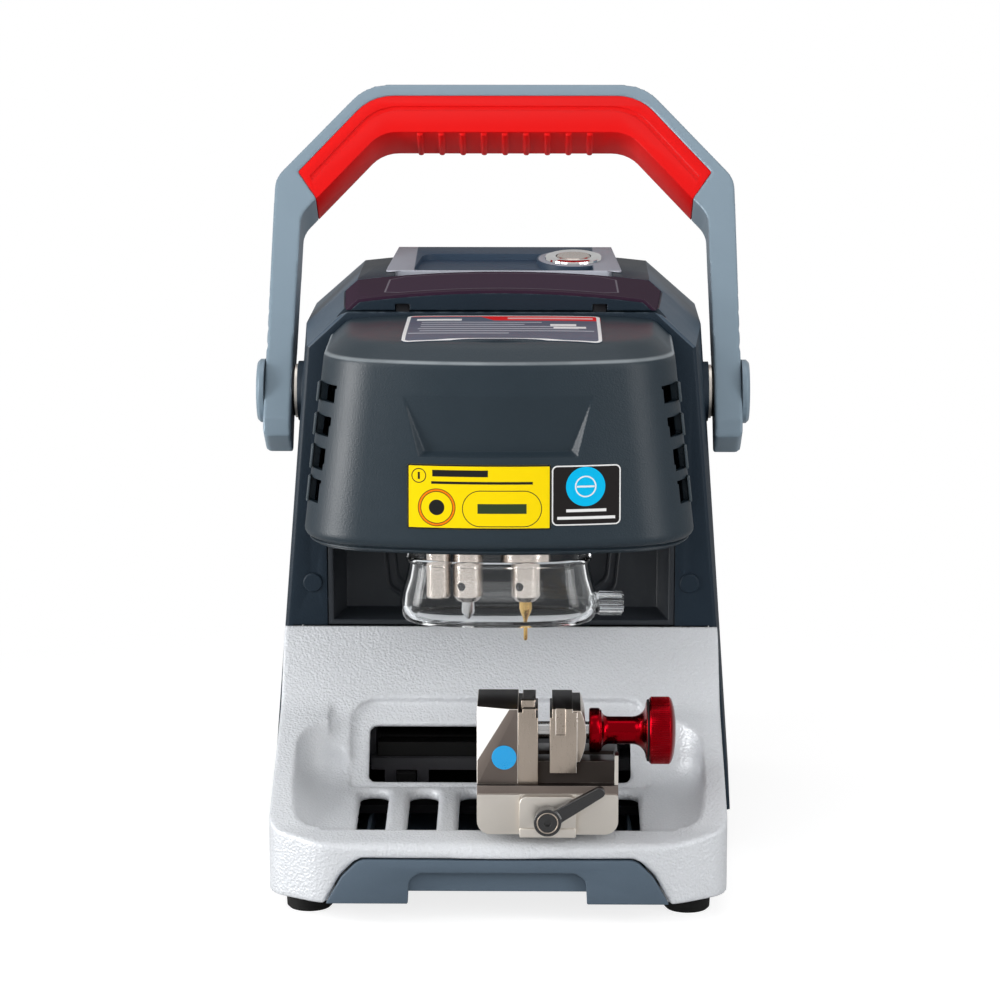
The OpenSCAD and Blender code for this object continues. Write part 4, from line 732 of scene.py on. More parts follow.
def stand_in(piece: Piece, node: str) -> Piece:
    """Puts a piece in the place of a CAD node, on the node's body."""
    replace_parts(beside(piece, node, FINISHES[node]), node)
    return piece


def merged_copy(node: str, name: str) -> Piece:
    """Copies a CAD node, with its loose triangles joined.

    Args:
        node: The CAD node.
        name: Name of the copy.

    Returns:
        The copy.
    """
    source = frame["nodes"][node].data
    piece = mesh_object(name, [tuple(v.co) for v in source.vertices],
                        [tuple(p.vertices) for p in source.polygons])
    with editing(piece) as work:
        bmesh.ops.remove_doubles(work, verts=work.verts, dist=2e-6)
        bmesh.ops.dissolve_degenerate(work, edges=work.edges, dist=1e-6)
    return piece


def refined(node: str, width: float = 0.0, angle: float = 35.0) -> Piece:
    """Copy of a CAD node with smooth curves and eased edges.

    Args:
        node: The CAD node.
        width: Width of the bevels in millimetres, or nought for none.
        angle: Edges sharper than this many degrees are bevelled, or kept sharp where none are.

    Returns:
        The copy.
    """
    piece = merged_copy(node, node + "_finished")
    if width == 0:
        return smooth(piece, angle)
    with editing(piece) as work:
        bmesh.ops.dissolve_limit(work, angle_limit=math.radians(0.6), verts=work.verts, edges=work.edges)
    modified(piece, "BEVEL", width=width * MM, segments=2, limit_method="ANGLE",
             angle_limit=math.radians(angle), harden_normals=False)
    return smooth(piece, 50.0)


def softened(piece: Piece, voxel: float, passes: int) -> Piece:
    """Rounds every edge of a piece, as a casting or moulding has.

    Args:
        piece: The piece.
        voxel: Size of the remesh in millimetres.
        passes: Smoothing passes.

    Returns:
        The piece.
    """
    modified(piece, "REMESH", mode="VOXEL", voxel_size=voxel * MM)
    return smooth(modified(piece, "SMOOTH", factor=0.5, iterations=passes), 180.0)


def band(columns: int, rows: int, closed: bool) -> list[tuple[int, ...]]:
    """Faces between columns of points that stand in a ring.

    Args:
        columns: Number of columns.
        rows: Points in each.
        closed: Whether a column's last point joins its first.

    Returns:
        The faces, as numbers of points.
    """
    faces = []
    for i in range(columns):
        j = (i + 1) % columns
        for k in range(rows if closed else rows - 1):
            m = (k + 1) % rows
            faces.append((i * rows + k, j * rows + k, j * rows + m, i * rows + m))
    return faces


def revolved(name: str, profile: Sequence[Pair], steps: int, start: Point, axis: Point) -> Piece:
    """A turned piece.

    Args:
        name: Name of the piece.
        profile: Radius and distance along the axis, in millimetres.
        steps: Faces round the axis.
        start: Point where the distance is nought, in millimetres.
        axis: Direction of the axis.

    Returns:
        The turned piece.
    """
    turn = Vector((0, 0, 1)).rotation_difference(Vector(axis)).to_matrix().to_4x4()
    place = Matrix.Translation(Vector(start) * MM) @ turn
    points = []
    for i in range(steps):
        a = 2 * math.pi * i / steps
        points += [place @ (Vector((r * math.cos(a), r * math.sin(a), h)) * MM) for r, h in profile]
    return smooth(outward(mesh_object(name, points, band(steps, len(profile), closed=False))), 32.0)


def swept(name: str, ring: Callable[[float, float], Pair], loop: Sequence[Pair], steps: int) -> Piece:
    """A closed profile carried round a plan.

    Args:
        name: Name of the piece.
        ring: Gives the plan's point for a share of the way round and an inset.
        loop: Inset and height of each profile point, in millimetres.
        steps: Steps round the plan.

    Returns:
        The swept piece.
    """
    points = []
    for i in range(steps):
        for inset, height in loop:
            x, y = ring(i / steps, inset)
            points.append((x * MM, y * MM, height * MM))
    return smooth(outward(mesh_object(name, points, band(steps, len(loop), closed=True))), 60.0)


class PatternTree:
    """A Geometry Nodes tree that sets copies of a small mesh on points."""

    def __init__(self, name: str) -> None:
        """Starts the tree with its input and output.

        Args:
            name: Name of the tree.
        """
        self.tree = bpy.data.node_groups.new(name, "GeometryNodeTree")
        self.sockets: dict[str, str] = {}
        self.size("Geometry", "NodeSocketGeometry")
        self.tree.interface.new_socket("Geometry", in_out="OUTPUT", socket_type="NodeSocketGeometry")
        self.start = self.tree.nodes.new("NodeGroupInput")
        self.end = self.tree.nodes.new("NodeGroupOutput")

    def size(self, name: str, kind: str) -> None:
        """Adds a named input."""
        self.sockets[name] = self.tree.interface.new_socket(name, in_out="INPUT", socket_type=kind).identifier

    def node(self, kind: str, values: Optional[dict] = None,
             settings: Optional[dict] = None) -> bpy.types.NodeSocket:
        """Adds a node and gives its first output."""
        return add_node(self.tree, kind, values, settings).outputs[0]

    def given(self, name: str) -> bpy.types.NodeSocket:
        """The value of a named input."""
        return self.start.outputs[name]

    def grow(self, name: str, instances: bpy.types.NodeSocket, finish: AnyFinish,
             values: dict[str, object]) -> Piece:
        """Makes the instances real, in one finish, and runs the tree.

        Args:
            name: Name of the piece.
            instances: The copies.
            finish: Their finish.
            values: Values of the tree's named inputs.

        Returns:
            The result as a plain mesh piece.
        """
        real = self.node("GeometryNodeRealizeInstances", {0: instances})
        coated = self.node("GeometryNodeSetMaterial", {0: real, "Material": material(finish)})
        self.tree.links.new(coated, self.end.inputs[0])
        piece = mesh_object(name, [(0, 0, 0)], [])
        modifier = piece.modifiers.new("pattern", "NODES")
        modifier.node_group = self.tree
        for key, value in values.items():
            modifier[self.sockets[key]] = value
        return smooth(applied(piece), 40.0)


def ring_pattern(name: str, motif: Piece, centre: Point, axis: Point, radius: float, count: int,
                 finish: AnyFinish) -> Piece:
    """Copies of a small mesh round an axis, made with Geometry Nodes.

    Args:
        name: Name of the piece.
        motif: The mesh that is repeated, standing out along X with the axis along Z. It is used up.
        centre: Centre of the ring, in millimetres.
        axis: Direction of the axis.
        radius: Radius of the ring, in millimetres.
        count: Number of copies.
        finish: Finish of the piece.

    Returns:
        The ring as one piece.
    """
    tree = PatternTree(name + "_tree")
    tree.size("Radius", "NodeSocketFloat")
    tree.size("Count", "NodeSocketInt")
    tree.size("Centre", "NodeSocketVector")
    tree.size("Turn", "NodeSocketVector")
    circle = tree.node("GeometryNodeMeshCircle",
                       {"Vertices": tree.given("Count"), "Radius": tree.given("Radius")})
    share = tree.node("ShaderNodeMath", {0: tree.node("GeometryNodeInputIndex"), 1: tree.given("Count")},
                      {"operation": "DIVIDE"})
    angle = tree.node("ShaderNodeMath", {0: share, 1: 2 * math.pi}, {"operation": "MULTIPLY"})
    source = add_node(tree.tree, "GeometryNodeObjectInfo", {"Object": motif}).outputs["Geometry"]
    turn = tree.node("ShaderNodeCombineXYZ", {2: angle})
    copies = tree.node("GeometryNodeInstanceOnPoints",
                       {"Points": circle, "Instance": source, "Rotation": turn})
    moved = tree.node("GeometryNodeTransform", {0: copies, "Translation": tree.given("Centre"),
                                                "Rotation": tree.given("Turn")})
    euler = Vector((0, 0, 1)).rotation_difference(Vector(axis)).to_euler()
    piece = tree.grow(name, moved, finish, {"Radius": radius * MM, "Count": count,
                                            "Centre": tuple(v * MM for v in centre), "Turn": tuple(euler)})
    bpy.data.objects.remove(motif)
    return piece


def small_block(name: str, size: Point, bevel: float, centre: Point = (0, 0, 0)) -> Piece:
    """Makes a block with bevelled edges, in millimetres.

    Args:
        name: Name of the block.
        size: Its size along X, Y and Z.
        bevel: Width of its bevels.
        centre: Its middle.

    Returns:
        The block.
    """
    piece = mesh_object(name, [], [])
    with editing(piece) as work:
        bmesh.ops.create_cube(work, size=1.0)
        for vert in work.verts:
            vert.co = Vector([c * s + m for c, s, m in zip(vert.co, size, centre)]) * MM
        bmesh.ops.bevel(work, geom=work.edges[:], offset=bevel * MM, segments=2, profile=0.6, affect="EDGES")
    return piece


# ---------------------------------------------------------------- cutting head
@dataclass
class CuttingHead:
    """The moulded cover over the spindle, with its scoop, vents and printed plates."""

    back: float = -25.0
    front: float = -132.0
    half_low: float = 89.5
    half_crease: float = 80.4
    corner: float = 36.0
    bulge: float = 7.0
    wall: float = 3.0
    panel: Pair = (175.0, 251.5)
    scoop_top: float = 239.0
    scoop_bottom: float = 213.0
    scoop_depth: float = 4.0
    scoop_half: Pair = (42.5, 36.0)
    scoop_slant: float = 1.15
    ledge_slant: float = 1.7
    ledge_under: float = 1.4
    scoop_reach: float = 16.0
    drawn_in: Pair = (8.8, 6.0)
    crown: Pair = (0.5, 1.5)
    vents: tuple[Pair, ...] = ((233, 241), (217.6, 226.6), (202.2, 212.2), (186.8, 197.8))
    vent_span: Pair = (-107.0, -93.4)
    vent_side: float = 60.0
    lip_back: float = -93.2
    lip_rows: Pair = (171.0, 254.0)
    lip_past: float = 0.4
    lip_inset: float = 0.9
    lip_thick: float = 1.0
    lip_bulge: float = 0.55
    lip_arc: tuple[Pair, ...] = ((0.0, 1.0), (1.6, 0.4), (2.6, -1.2), (3.0, -3.4), (2.2, -5.6))

    def levels(self) -> list[Point]:
        """Height, half width and front of each section, from the lower edge to the top."""
        rows = [(168.0, 86.2, -128.9), (168.15, 87.0, -129.7), (168.6, 87.4, -130.1), (169.1, 87.3, -130.0),
                (169.35, 86.7, -129.4), (169.7, 86.8, -129.5), (170.2, 87.9, -130.6), (171.0, 88.8, -131.5),
                (172.2, 89.4, -132.1), (173.6, 89.6, -132.3), (175.0, 89.4, -132.2)]
        low, high = self.panel
        z, half, front = rows[-1]
        while z < high:
            z += 0.5 if self.scoop_bottom - 4 < z < self.scoop_top + 2 else 1.5
            share = min((z - low) / (high - low), 1.0)
            rows.append((low + share * (high - low), half - share * self.drawn_in[0],
                         front + share * self.drawn_in[1]))
        rows += [(252.4, 80.4, -126.0), (253.1, 80.2, -125.8), (253.6, 79.9, -125.5), (254.1, 79.3, -124.9),
                 (254.8, 78.4, -124.0), (257.0, 76.1, -121.5), (258.6, 74.4, -119.6), (259.6, 73.3, -118.4),
                 (260.4, 72.2, -117.1), (261.0, 70.9, -115.5), (261.4, 69.3, -113.6), (261.7, 67.4, -111.2)]
        return rows

    def section(self, half: float, front: float) -> list[Pair]:
        """Plan of one section: round the front from the left back to the right back.

        Args:
            half: Half of its width.
            front: Y of its foremost point.

        Returns:
            The points, in millimetres.
        """
        r, sides, corners, fronts = self.corner, 30, 48, 200
        y_corner = front + self.bulge + r
        cx = half - r
        end = math.degrees(math.asin(cx / ((cx * cx + self.bulge ** 2) / (2 * self.bulge))))
        left = [(-half - (1 - i / sides), self.back + (y_corner - self.back) * i / sides)
                for i in range(sides)]
        turns = [math.radians(180 + (90 - end) * i / corners) for i in range(corners)]
        left += [(-cx + r * math.cos(a), y_corner + r * math.sin(a)) for a in turns]
        a = math.radians(270 - end)
        reach = cx - r * math.cos(a)
        rise = y_corner + r * math.sin(a) - front
        radius = (reach * reach + rise * rise) / (2 * rise)
        across = [-reach + 2 * reach * i / fronts for i in range(fronts + 1)]
        middle = [(x, front + radius - math.sqrt(radius * radius - x * x)) for x in across]
        return left + middle + [(-x, y) for x, y in reversed(left)]

    def scoop(self, x: float, z: float) -> float:
        """The scoop: deeper downwards, with slanted sides and a ledge.

        Args:
            x: X of a point of the front.
            z: Its height.

        Returns:
            How deep the front is pressed in there, in millimetres.
        """
        share = (self.scoop_top - z) / (self.scoop_top - self.scoop_bottom)
        if share <= 0 or z < self.scoop_bottom - 3:
            return 0.0
        half = self.scoop_half[0] - (self.scoop_half[0] - self.scoop_half[1]) * min(share, 1.0)
        side = max(half - abs(x), 0.0) * self.scoop_slant
        ledge = max(z - self.scoop_bottom + self.ledge_under, 0.0) * self.ledge_slant
        return min(self.scoop_depth * min(share, 1.0), side, ledge)

    def in_vent(self, x: float, y: float, z: float) -> bool:
        """Whether a point of the skin lies in a vent."""
        beside_head = self.vent_span[0] < y < self.vent_span[1] and abs(x) > self.vent_side
        return beside_head and any(low < z < high for low, high in self.vents)

    def skin(self, rows: list[Point], plans: list[list[Pair]]) -> tuple[list[Point], list[tuple[int, ...]]]:
        """Points and faces of the walls, with the scoop pressed in and the vents left open.

        Args:
            rows: Height, half width and front of each section.
            plans: The plan of each section.

        Returns:
            The points in metres, and the faces.
        """
        count, points, faces = len(plans[0]), [], []
        for (z, _, _), plan in zip(rows, plans):
            for x, y in plan:
                push = self.scoop(x, z) if y < self.front + self.scoop_reach else 0.0
                points.append((x * MM, (y + push) * MM, z * MM))
        for r in range(len(rows) - 1):
            for c in range(count - 1):
                if not self.in_vent(*plans[r][c], (rows[r][0] + rows[r + 1][0]) / 2):
                    a = r * count + c
                    faces.append((a, a + 1, a + count + 1, a + count))
        return points, faces

    def shell(self) -> Piece:
        """The cover's skin with its crowned top, given its wall."""
        rows = self.levels()
        plans = [self.section(half, front) for _, half, front in rows]
        points, faces = self.skin(rows, plans)
        last, across, grid = plans[-1], 40, {}
        count = len(last)
        base, half_count = (len(rows) - 1) * count, count // 2
        for i in range(half_count + 1):
            x0, y0 = last[i]
            rise = self.crown[0] + self.crown[1] * (y0 - self.front) / (self.back - self.front)
            grid[i, 0], grid[i, across] = base + i, base + count - 1 - i
            for j in range(1, across):
                grid[i, j] = len(points)
                z = rows[-1][0] + rise * (1 - (2 * j / across - 1) ** 4)
                points.append(((x0 - 2 * x0 * j / across) * MM, y0 * MM, z * MM))
        for i in range(half_count):
            for j in range(across):
                quad = (grid[i, j], grid[i, j + 1], grid[i + 1, j + 1], grid[i + 1, j])
                if len(set(quad)) >= 3:
                    faces.append(tuple(dict.fromkeys(quad)))
        piece = outward(mesh_object("head_cover_moulding", points, faces))
        return smooth(modified(piece, "SOLIDIFY", thickness=self.wall * MM, offset=-1.0), 40.0)

    def lips(self) -> Piece:
        """Curved lips beside the vents, one set of four on each side."""
        points, faces, n = [], [], len(self.lip_arc)
        lean = (self.half_low - self.half_crease) / (self.lip_rows[1] - self.lip_rows[0])
        for side, (low, high) in ((side, vent) for side in (-1, 1) for vent in self.vents):
            base = len(points)
            for z in (low - self.lip_past, high + self.lip_past):
                half = self.half_low - (z - self.lip_rows[0]) * lean - self.lip_inset
                for inner in (half, half - self.lip_thick):
                    points += [(side * (inner + out * self.lip_bulge) * MM, (self.lip_back + along) * MM,
                                z * MM) for out, along in self.lip_arc]
            rows = [(base + k, base + n + k, base + 2 * n + k, base + 3 * n + k) for k in range(n)]
            for a, b, c, d in rows[:-1]:
                faces += [(a, a + 1, c + 1, c), (b, d, d + 1, b + 1),
                          (a, b, b + 1, a + 1), (c, c + 1, d + 1, d)]
            faces += [(a, c, d, b) for a, b, c, d in (rows[0], rows[-1])]
        piece = outward(mesh_object("head_vent_lips", points, faces))
        return smooth(modified(piece, "BEVEL", width=0.25 * MM, segments=2), 50.0)

    def build(self) -> Piece:
        """Makes the cover and its lips and puts them in place."""
        cover = stand_in(self.shell(), "head_cover")
        beside(self.lips(), "head_cover", LIP)
        return cover


def bar(x: float, y: float, w: float, h: float, color: Color = INK, skew: float = 0.0) -> Mark:
    """A printed bar."""
    return Mark(Shape.BAR, x, y, w, h, color, skew=skew)


def ring(x: float, y: float, w: float, line: float, color: Color = INK) -> Mark:
    """A printed ring."""
    return Mark(Shape.RING, x, y, w, w, color, line)


@dataclass
class Plates:
    """Printed films on the head cover, laid on its surface."""

    cover: Piece
    thick: float = 0.25
    cell: float = 1.6
    orange: Color = (0.85, 0.20, 0.0)
    red: Color = (0.70, 0.010, 0.012)
    grey: Color = (0.42, 0.45, 0.50)

    def __post_init__(self) -> None:
        """Makes the search tree of the cover's surface."""
        with editing(self.cover) as work:
            self.surface = BVHTree.FromBMesh(work)

    def film(self, name: str, centre: Pair, finish: PrintedPlate, corner: float,
             on_top: bool = False) -> Piece:
        """A film that follows the cover.

        Args:
            name: Name of the piece.
            centre: X and Z on the front, or X and Y on the top, in millimetres.
            finish: Its print, which has its width and height.
            corner: Radius of its corners.
            on_top: Whether it lies on the top.

        Returns:
            The film.
        """
        w, h = finish.size
        nx, ny = max(int(w / self.cell), 8), max(int(h / self.cell), 8)
        points, uvs = [], []
        ray = Vector((0, 0, -1)) if on_top else Vector((0, 1, 0))
        for j, i in ((j, i) for j in range(ny + 1) for i in range(nx + 1)):
            u, v = (i / nx - 0.5) * w, (j / ny - 0.5) * h
            over_x, over_y = abs(u) - (w / 2 - corner), abs(v) - (h / 2 - corner)
            if over_x > 0 and over_y > 0:
                scale = corner / max(math.hypot(over_x, over_y), corner)
                u = math.copysign(w / 2 - corner + over_x * scale, u)
                v = math.copysign(h / 2 - corner + over_y * scale, v)
            x, y = centre[0] + u, centre[1] + v
            start = Vector((x, y, 320)) * MM if on_top else Vector((x, -200, y)) * MM
            hit = self.surface.ray_cast(start, ray)[0]
            if hit is None:
                raise ValueError(f"{name} leaves the cover at {x:.1f}, {y:.1f}")
            points.append(tuple(hit - ray * 0.05 * MM))
            uvs.append((u / UV_SCALE, v / UV_SCALE))
        corners = [j * (nx + 1) + i for j in range(ny) for i in range(nx)]
        piece = mesh_object(name, points, [(a, a + 1, a + nx + 2, a + nx + 1) for a in corners])
        layer = piece.data.uv_layers.new(name="UVMap")
        for loop in piece.data.loops:
            layer.data[loop.index].uv = uvs[loop.vertex_index]
        modified(piece, "SOLIDIFY", thickness=self.thick * MM, offset=1.0)
        return beside(smooth(piece, 40.0), "head_cover", finish)

    def build(self) -> None:
        """Lays the three films."""
        yellow = PrintedPlate("yellow_plate_print", (0.90, 0.66, 0.0), INK, (64.5, 29.0), 0.35, 0.7, 0.6, (
            ring(-27.0, 9.4, 6.2, 0.45), bar(-27.0, 9.4, 1.0, 3.2), bar(-8.5, 10.6, 25.0, 3.0),
            bar(1.3, 6.4, 45.5, 1.2), ring(-19.0, -4.7, 16.6, 0.35),
            ring(-19.0, -4.7, 15.4, 0.9, self.orange), ring(-19.0, -4.7, 14.2, 0.35),
            Mark(Shape.DISC, -19.0, -4.7, 7.0, 7.0, INK), Mark(Shape.PILL, 10.3, -5.1, 35.4, 16.0, INK, 0.4),
            bar(10.3, -5.1, 22.0, 4.4, (0.03, 0.05, 0.02))))
        dark = PrintedPlate("dark_plate_print", (0.014, 0.012, 0.012), WHITE, (31.0, 27.0), 0.35, 0.6, 2.2, (
            Mark(Shape.DISC, -0.3, 3.9, 17.6, 17.6, (0.0, 0.46, 0.80)), ring(-0.3, 3.9, 9.0, 0.6, WHITE),
            bar(-0.3, 3.9, 8.0, 0.8, WHITE), bar(0, -6.8, 18.0, 1.3, WHITE), bar(0, -10.1, 26.0, 1.3, WHITE)))
        rows = ((-10.0, 15.5, 56.0), (-14.0, 8.5, 48.0), (-7.0, 1.5, 62.0), (-2.0, -5.5, 74.0),
                (2.0, -12.5, 80.0), (-20.0, -20.0, 46.0))
        top = PrintedPlate("top_label_print", (0.085, 0.105, 0.150), WHITE, (91.0, 76.0), 1.0, 1.6, 3.0, (
            bar(28.0, 29.0, 72.0, 15.0, self.red, -0.5), bar(0.0, 35.6, 88.0, 2.6, self.red),
            bar(22.0, 29.0, 40.0, 5.0, (0.75, 0.45, 0.45)), bar(-30.0, 24.0, 21.0, 6.0, WHITE),
            bar(28.0, 6.5, 12.0, 7.0, WHITE), bar(31.0, -1.5, 15.0, 6.0, WHITE),
            *(bar(x, y, w, 2.2, self.grey) for x, y, w in rows)))
        self.film("head_yellow_plate", (-8.4, 194.0), yellow, 0.8)
        self.film("head_dark_plate", (39.6, 194.6), dark, 2.4)
        self.film("head_top_label", (1.4, -71.0), top, 4.0, on_top=True)


# ---------------------------------------------------------------- guard and tools
@dataclass
class ToolGuard:
    """The clear guard, its pull tab and its ears."""

    centre_y: float = -95.0
    bottom: float = 131.0
    top: float = 161.0
    half_w: float = 45.5
    half_d: float = 25.5
    power: float = 2.7
    tab_above: float = 7.3
    rib_count: int = 8

    def ring(self, share: float, inset: float) -> Pair:
        """Plan of the guard.

        Args:
            share: Share of the way round.
            inset: How far inside the outline, in millimetres.

        Returns:
            X and Y of the point, in millimetres.
        """
        a = 2 * math.pi * share
        c, s = math.cos(a), math.sin(a)
        k = 2 / self.power
        return (math.copysign(abs(c) ** k, c) * (self.half_w - inset),
                self.centre_y + math.copysign(abs(s) ** k, s) * (self.half_d - inset))

    def build(self) -> None:
        """Makes the guard."""
        lo, hi = self.bottom, self.top
        outer = [(7.0, lo), (4.2, lo), (2.4, lo + 0.7), (1.2, lo + 2.2), (0.5, lo + 4.6), (0.0, lo + 8.0),
                 (0.5, lo + 12.0), (1.8, lo + 17.0), (3.2, lo + 22.0), (4.0, lo + 26.4), (3.9, hi - 2.6),
                 (3.2, hi - 2.3), (2.9, hi - 1.7), (2.9, hi - 0.6), (3.3, hi - 0.1)]
        inner = [(6.4, hi), (6.6, hi - 3.0), (5.6, lo + 20.0), (3.4, lo + 13.0), (2.7, lo + 8.0),
                 (3.3, lo + 5.0), (4.6, lo + 3.0), (6.0, lo + 2.1), (7.2, lo + 1.8), (7.4, lo + 0.9)]
        stand_in(swept("guard_shell", self.ring, outer + inner, 160), "cutter_guard")
        z = lo + self.tab_above
        profile = [(5.2, -1.5), (5.0, 0.6), (4.6, 1.0), (4.6, 11.6), (4.2, 12.3), (3.5, 12.5), (3.0, 12.2),
                   (2.9, 1.4), (0.01, 1.4), (0.01, 0.2)]
        tab = revolved("guard_tab", profile, 48, (self.half_w - 0.4, self.centre_y, z), (1, 0, 0))
        motif = small_block("tab_rib", (1.1, 1.3, 10.8), 0.4, (0.2, 0, 5.9))
        ribs = ring_pattern("guard_tab_ribs", motif, (self.half_w, self.centre_y, z), (1, 0, 0), 4.9,
                            self.rib_count, CLEAR)
        ears = [small_block("guard_ear_" + name, (5.0, 16.0, 10.4), 1.0, (x, self.centre_y, 164.4))
                for name, x in (("left", -38.9), ("right", 38.9))]
        for piece in (tab, ribs, *ears):
            beside(piece, "cutter_guard", CLEAR)


@dataclass
class Knob:
    """The red clamp knob with its straight knurl."""

    place: Point = (41.4, -125.0, 85.6)
    head_r: float = 15.3
    ridges: int = 96

    def build(self) -> None:
        """Makes the turned knob, its knurl and its seal."""
        r, axis = self.head_r, (1, 0, 0)
        turns = [math.radians(a) for a in range(0, 91, 10)]
        neck = [(6.3 + 3 * (1 - math.sin(a)), 5.6 + 3.6 * (1 - math.cos(a))) for a in turns]
        flare = [(6.3 + 6.2 * (1 - math.cos(a)), 19.6 + 6.2 * math.sin(a)) for a in turns]
        foot = [(0.01, 0), (9.4, 0), (9.9, 0.2), (10.2, 0.7), (10.2, 4.3), (9.9, 4.8), (9.4, 5.0), (9.3, 5.4)]
        head = [(12.9, 26.0), (13.1, 26.4), (13.1, 27.2), (r - 1.0, 27.2), (r - 0.5, 27.5), (r - 0.15, 28.1),
                (r - 0.15, 36.4), (r - 0.6, 37.1), (r - 1.6, 37.6), (11, 38.5), (6, 39.2), (0.01, 39.4)]
        profile = foot + neck + flare + head
        stand_in(revolved("clamp_knob_turned", profile, 128, self.place, axis), "clamp_knob")
        motif = small_block("ridge", (0.42, 0.5, 8.4), 0.12, (0.0, 0, 32.3))
        knurl = ring_pattern("clamp_knob_knurl", motif, self.place, axis, r - 0.18, self.ridges, RED_METAL)
        beside(knurl, "clamp_knob", RED_METAL)
        rubber = [(13.2, 26.3), (13.7, 26.2), (14.1, 26.5), (14.1, 27.1), (13.2, 27.15)]
        beside(revolved("clamp_knob_seal", rubber, 96, self.place, axis), "clamp_knob", RUBBER)


# ---------------------------------------------------------------- base, housing, handle, clamp
@dataclass
class BaseCasting:
    """The hammered casting, softened, with a sloped rim round each chip slot."""

    voxel: float = 1.15
    passes: int = 2
    slots: int = 6
    pitch: float = 23.4
    slot: Pair = (13.4, 50.0)
    slot_end: float = 5.5
    rim: float = 2.0
    middle: Point = (0.0, -105.5, 41.85)
    slope: float = 7.36

    def rims(self) -> Piece:
        """Wedges that widen upwards from each slot."""
        points, faces = [], []
        tilt = Matrix.Rotation(math.radians(self.slope), 3, "X")
        turns = [math.radians(a) for a in range(0, 360, 15)]
        n = len(turns)
        for i in range(self.slots):
            base = len(points)
            shift = Vector(self.middle) + Vector(((i - (self.slots - 1) / 2) * self.pitch, 0, 0))
            for height, grow in ((-2.0, -0.2), (1.0, self.rim + 0.8)):
                for c, s in ((math.cos(a), math.sin(a)) for a in turns):
                    x = c * (self.slot_end + grow) + math.copysign(self.slot[0] / 2 - self.slot_end, c)
                    y = s * (self.slot_end + grow) + math.copysign(self.slot[1] / 2 - self.slot_end, s)
                    points.append(tuple((tilt @ Vector((x, y, height)) + shift) * MM))
            faces += [(base + k, base + (k + 1) % n, base + n + (k + 1) % n, base + n + k) for k in range(n)]
            faces += [tuple(base + k for k in reversed(range(n))), tuple(base + n + k for k in range(n))]
        return outward(mesh_object("slot_rims", points, faces), 1e-7)

    def build(self) -> None:
        """Cuts the rims and softens the casting."""
        piece = merged_copy("base_casting", "base_casting_softened")
        cutter = self.rims()
        modified(piece, "BOOLEAN", operation="DIFFERENCE", object=cutter, solver="EXACT")
        bpy.data.objects.remove(cutter)
        stand_in(softened(piece, self.voxel, self.passes), "base_casting")


@dataclass
class Handle:
    """The carrying handle with its grip."""

    voxel: float = 0.85
    passes: int = 2
    bevel: float = 0.45

    def build(self) -> None:
        """Softens the handle's frame and eases the grip's edges."""
        arms = merged_copy("handle_frame", "handle_frame_softened")
        stand_in(softened(arms, self.voxel, self.passes), "handle_frame")
        stand_in(refined("handle_grip", self.bevel, 30.0), "handle_grip")


@dataclass
class Clamp:
    """The nickel clamp: bevelled blocks, lever and the blue spot on the left block."""

    bevel: float = 0.35
    bolt: Point = (22.6, -160.0, 51.6)
    spot: Point = (3.0, -144.05, 77.6)

    def build(self) -> None:
        """Bevels each block, gives its tops and front their finishes, paints highlights on the bevels that
        face the lamps and adds the ring and the spot.
        """
        for node in ("clamp_base", "clamp_block", "clamp_front_plate", "fixed_jaw", "moving_jaw"):
            piece = dress(refined(node, self.bevel, 30.0), NICKEL_JAW if node.endswith("jaw") else NICKEL)
            low = 64.0 if node == "clamp_base" else 66.0
            tinted(piece, NICKEL_DARK, lambda c, n, low=low: n.z > 0.9 and c.z > low)
            if node == "clamp_block":
                tinted(piece, NICKEL_BLASTED, lambda c, n: n.y < -0.95)
                # Painted highlight on the block's bevels that face front, left and up.
                tinted(piece, NICKEL_PAINTED_HIGHLIGHT,
                       lambda c, n: n.x < -0.2 and n.y < -0.2 and n.z > 0.1 and c.y < -120)
            elif node == "clamp_base":
                tinted(piece, NICKEL_DARK, lambda c, n: n.y < -0.9 and 65.5 < c.z < 75 and c.x < 52.5)
                tinted(piece, NICKEL_BLASTED, lambda c, n: n.y < -0.9 and 56 < c.z < 65.5 and c.y > -147.5)
            elif node == "moving_jaw":
                # Painted highlight: a bright crescent on the moving jaw's rounded right end.
                tinted(piece, NICKEL_PAINTED_HIGHLIGHT, lambda c, n: n.x > 0.25 and n.y < -0.15 and abs(n.z) < 0.5)
            stand_in(piece, node)
        stand_in(softened(merged_copy("lock_lever", "lock_lever_softened"), 0.4, 4), "lock_lever")
        rounded = [(4.3, -0.3), (4.35, 0.1), (4.5, 0.2), (4.7, 0.2), (4.85, 0.1), (4.9, -0.3)]
        beside(revolved("lever_ring", rounded, 64, self.bolt, (0, -1, 0)), "lock_lever", NICKEL_JAW)
        disc = [(0.01, 0.0), (5.4, 0.0), (5.6, 0.12), (5.5, 0.28), (0.01, 0.3)]
        beside(revolved("clamp_blue_spot", disc, 64, self.spot, (0, -1, 0)), "clamp_block", BLUE_SPOT)


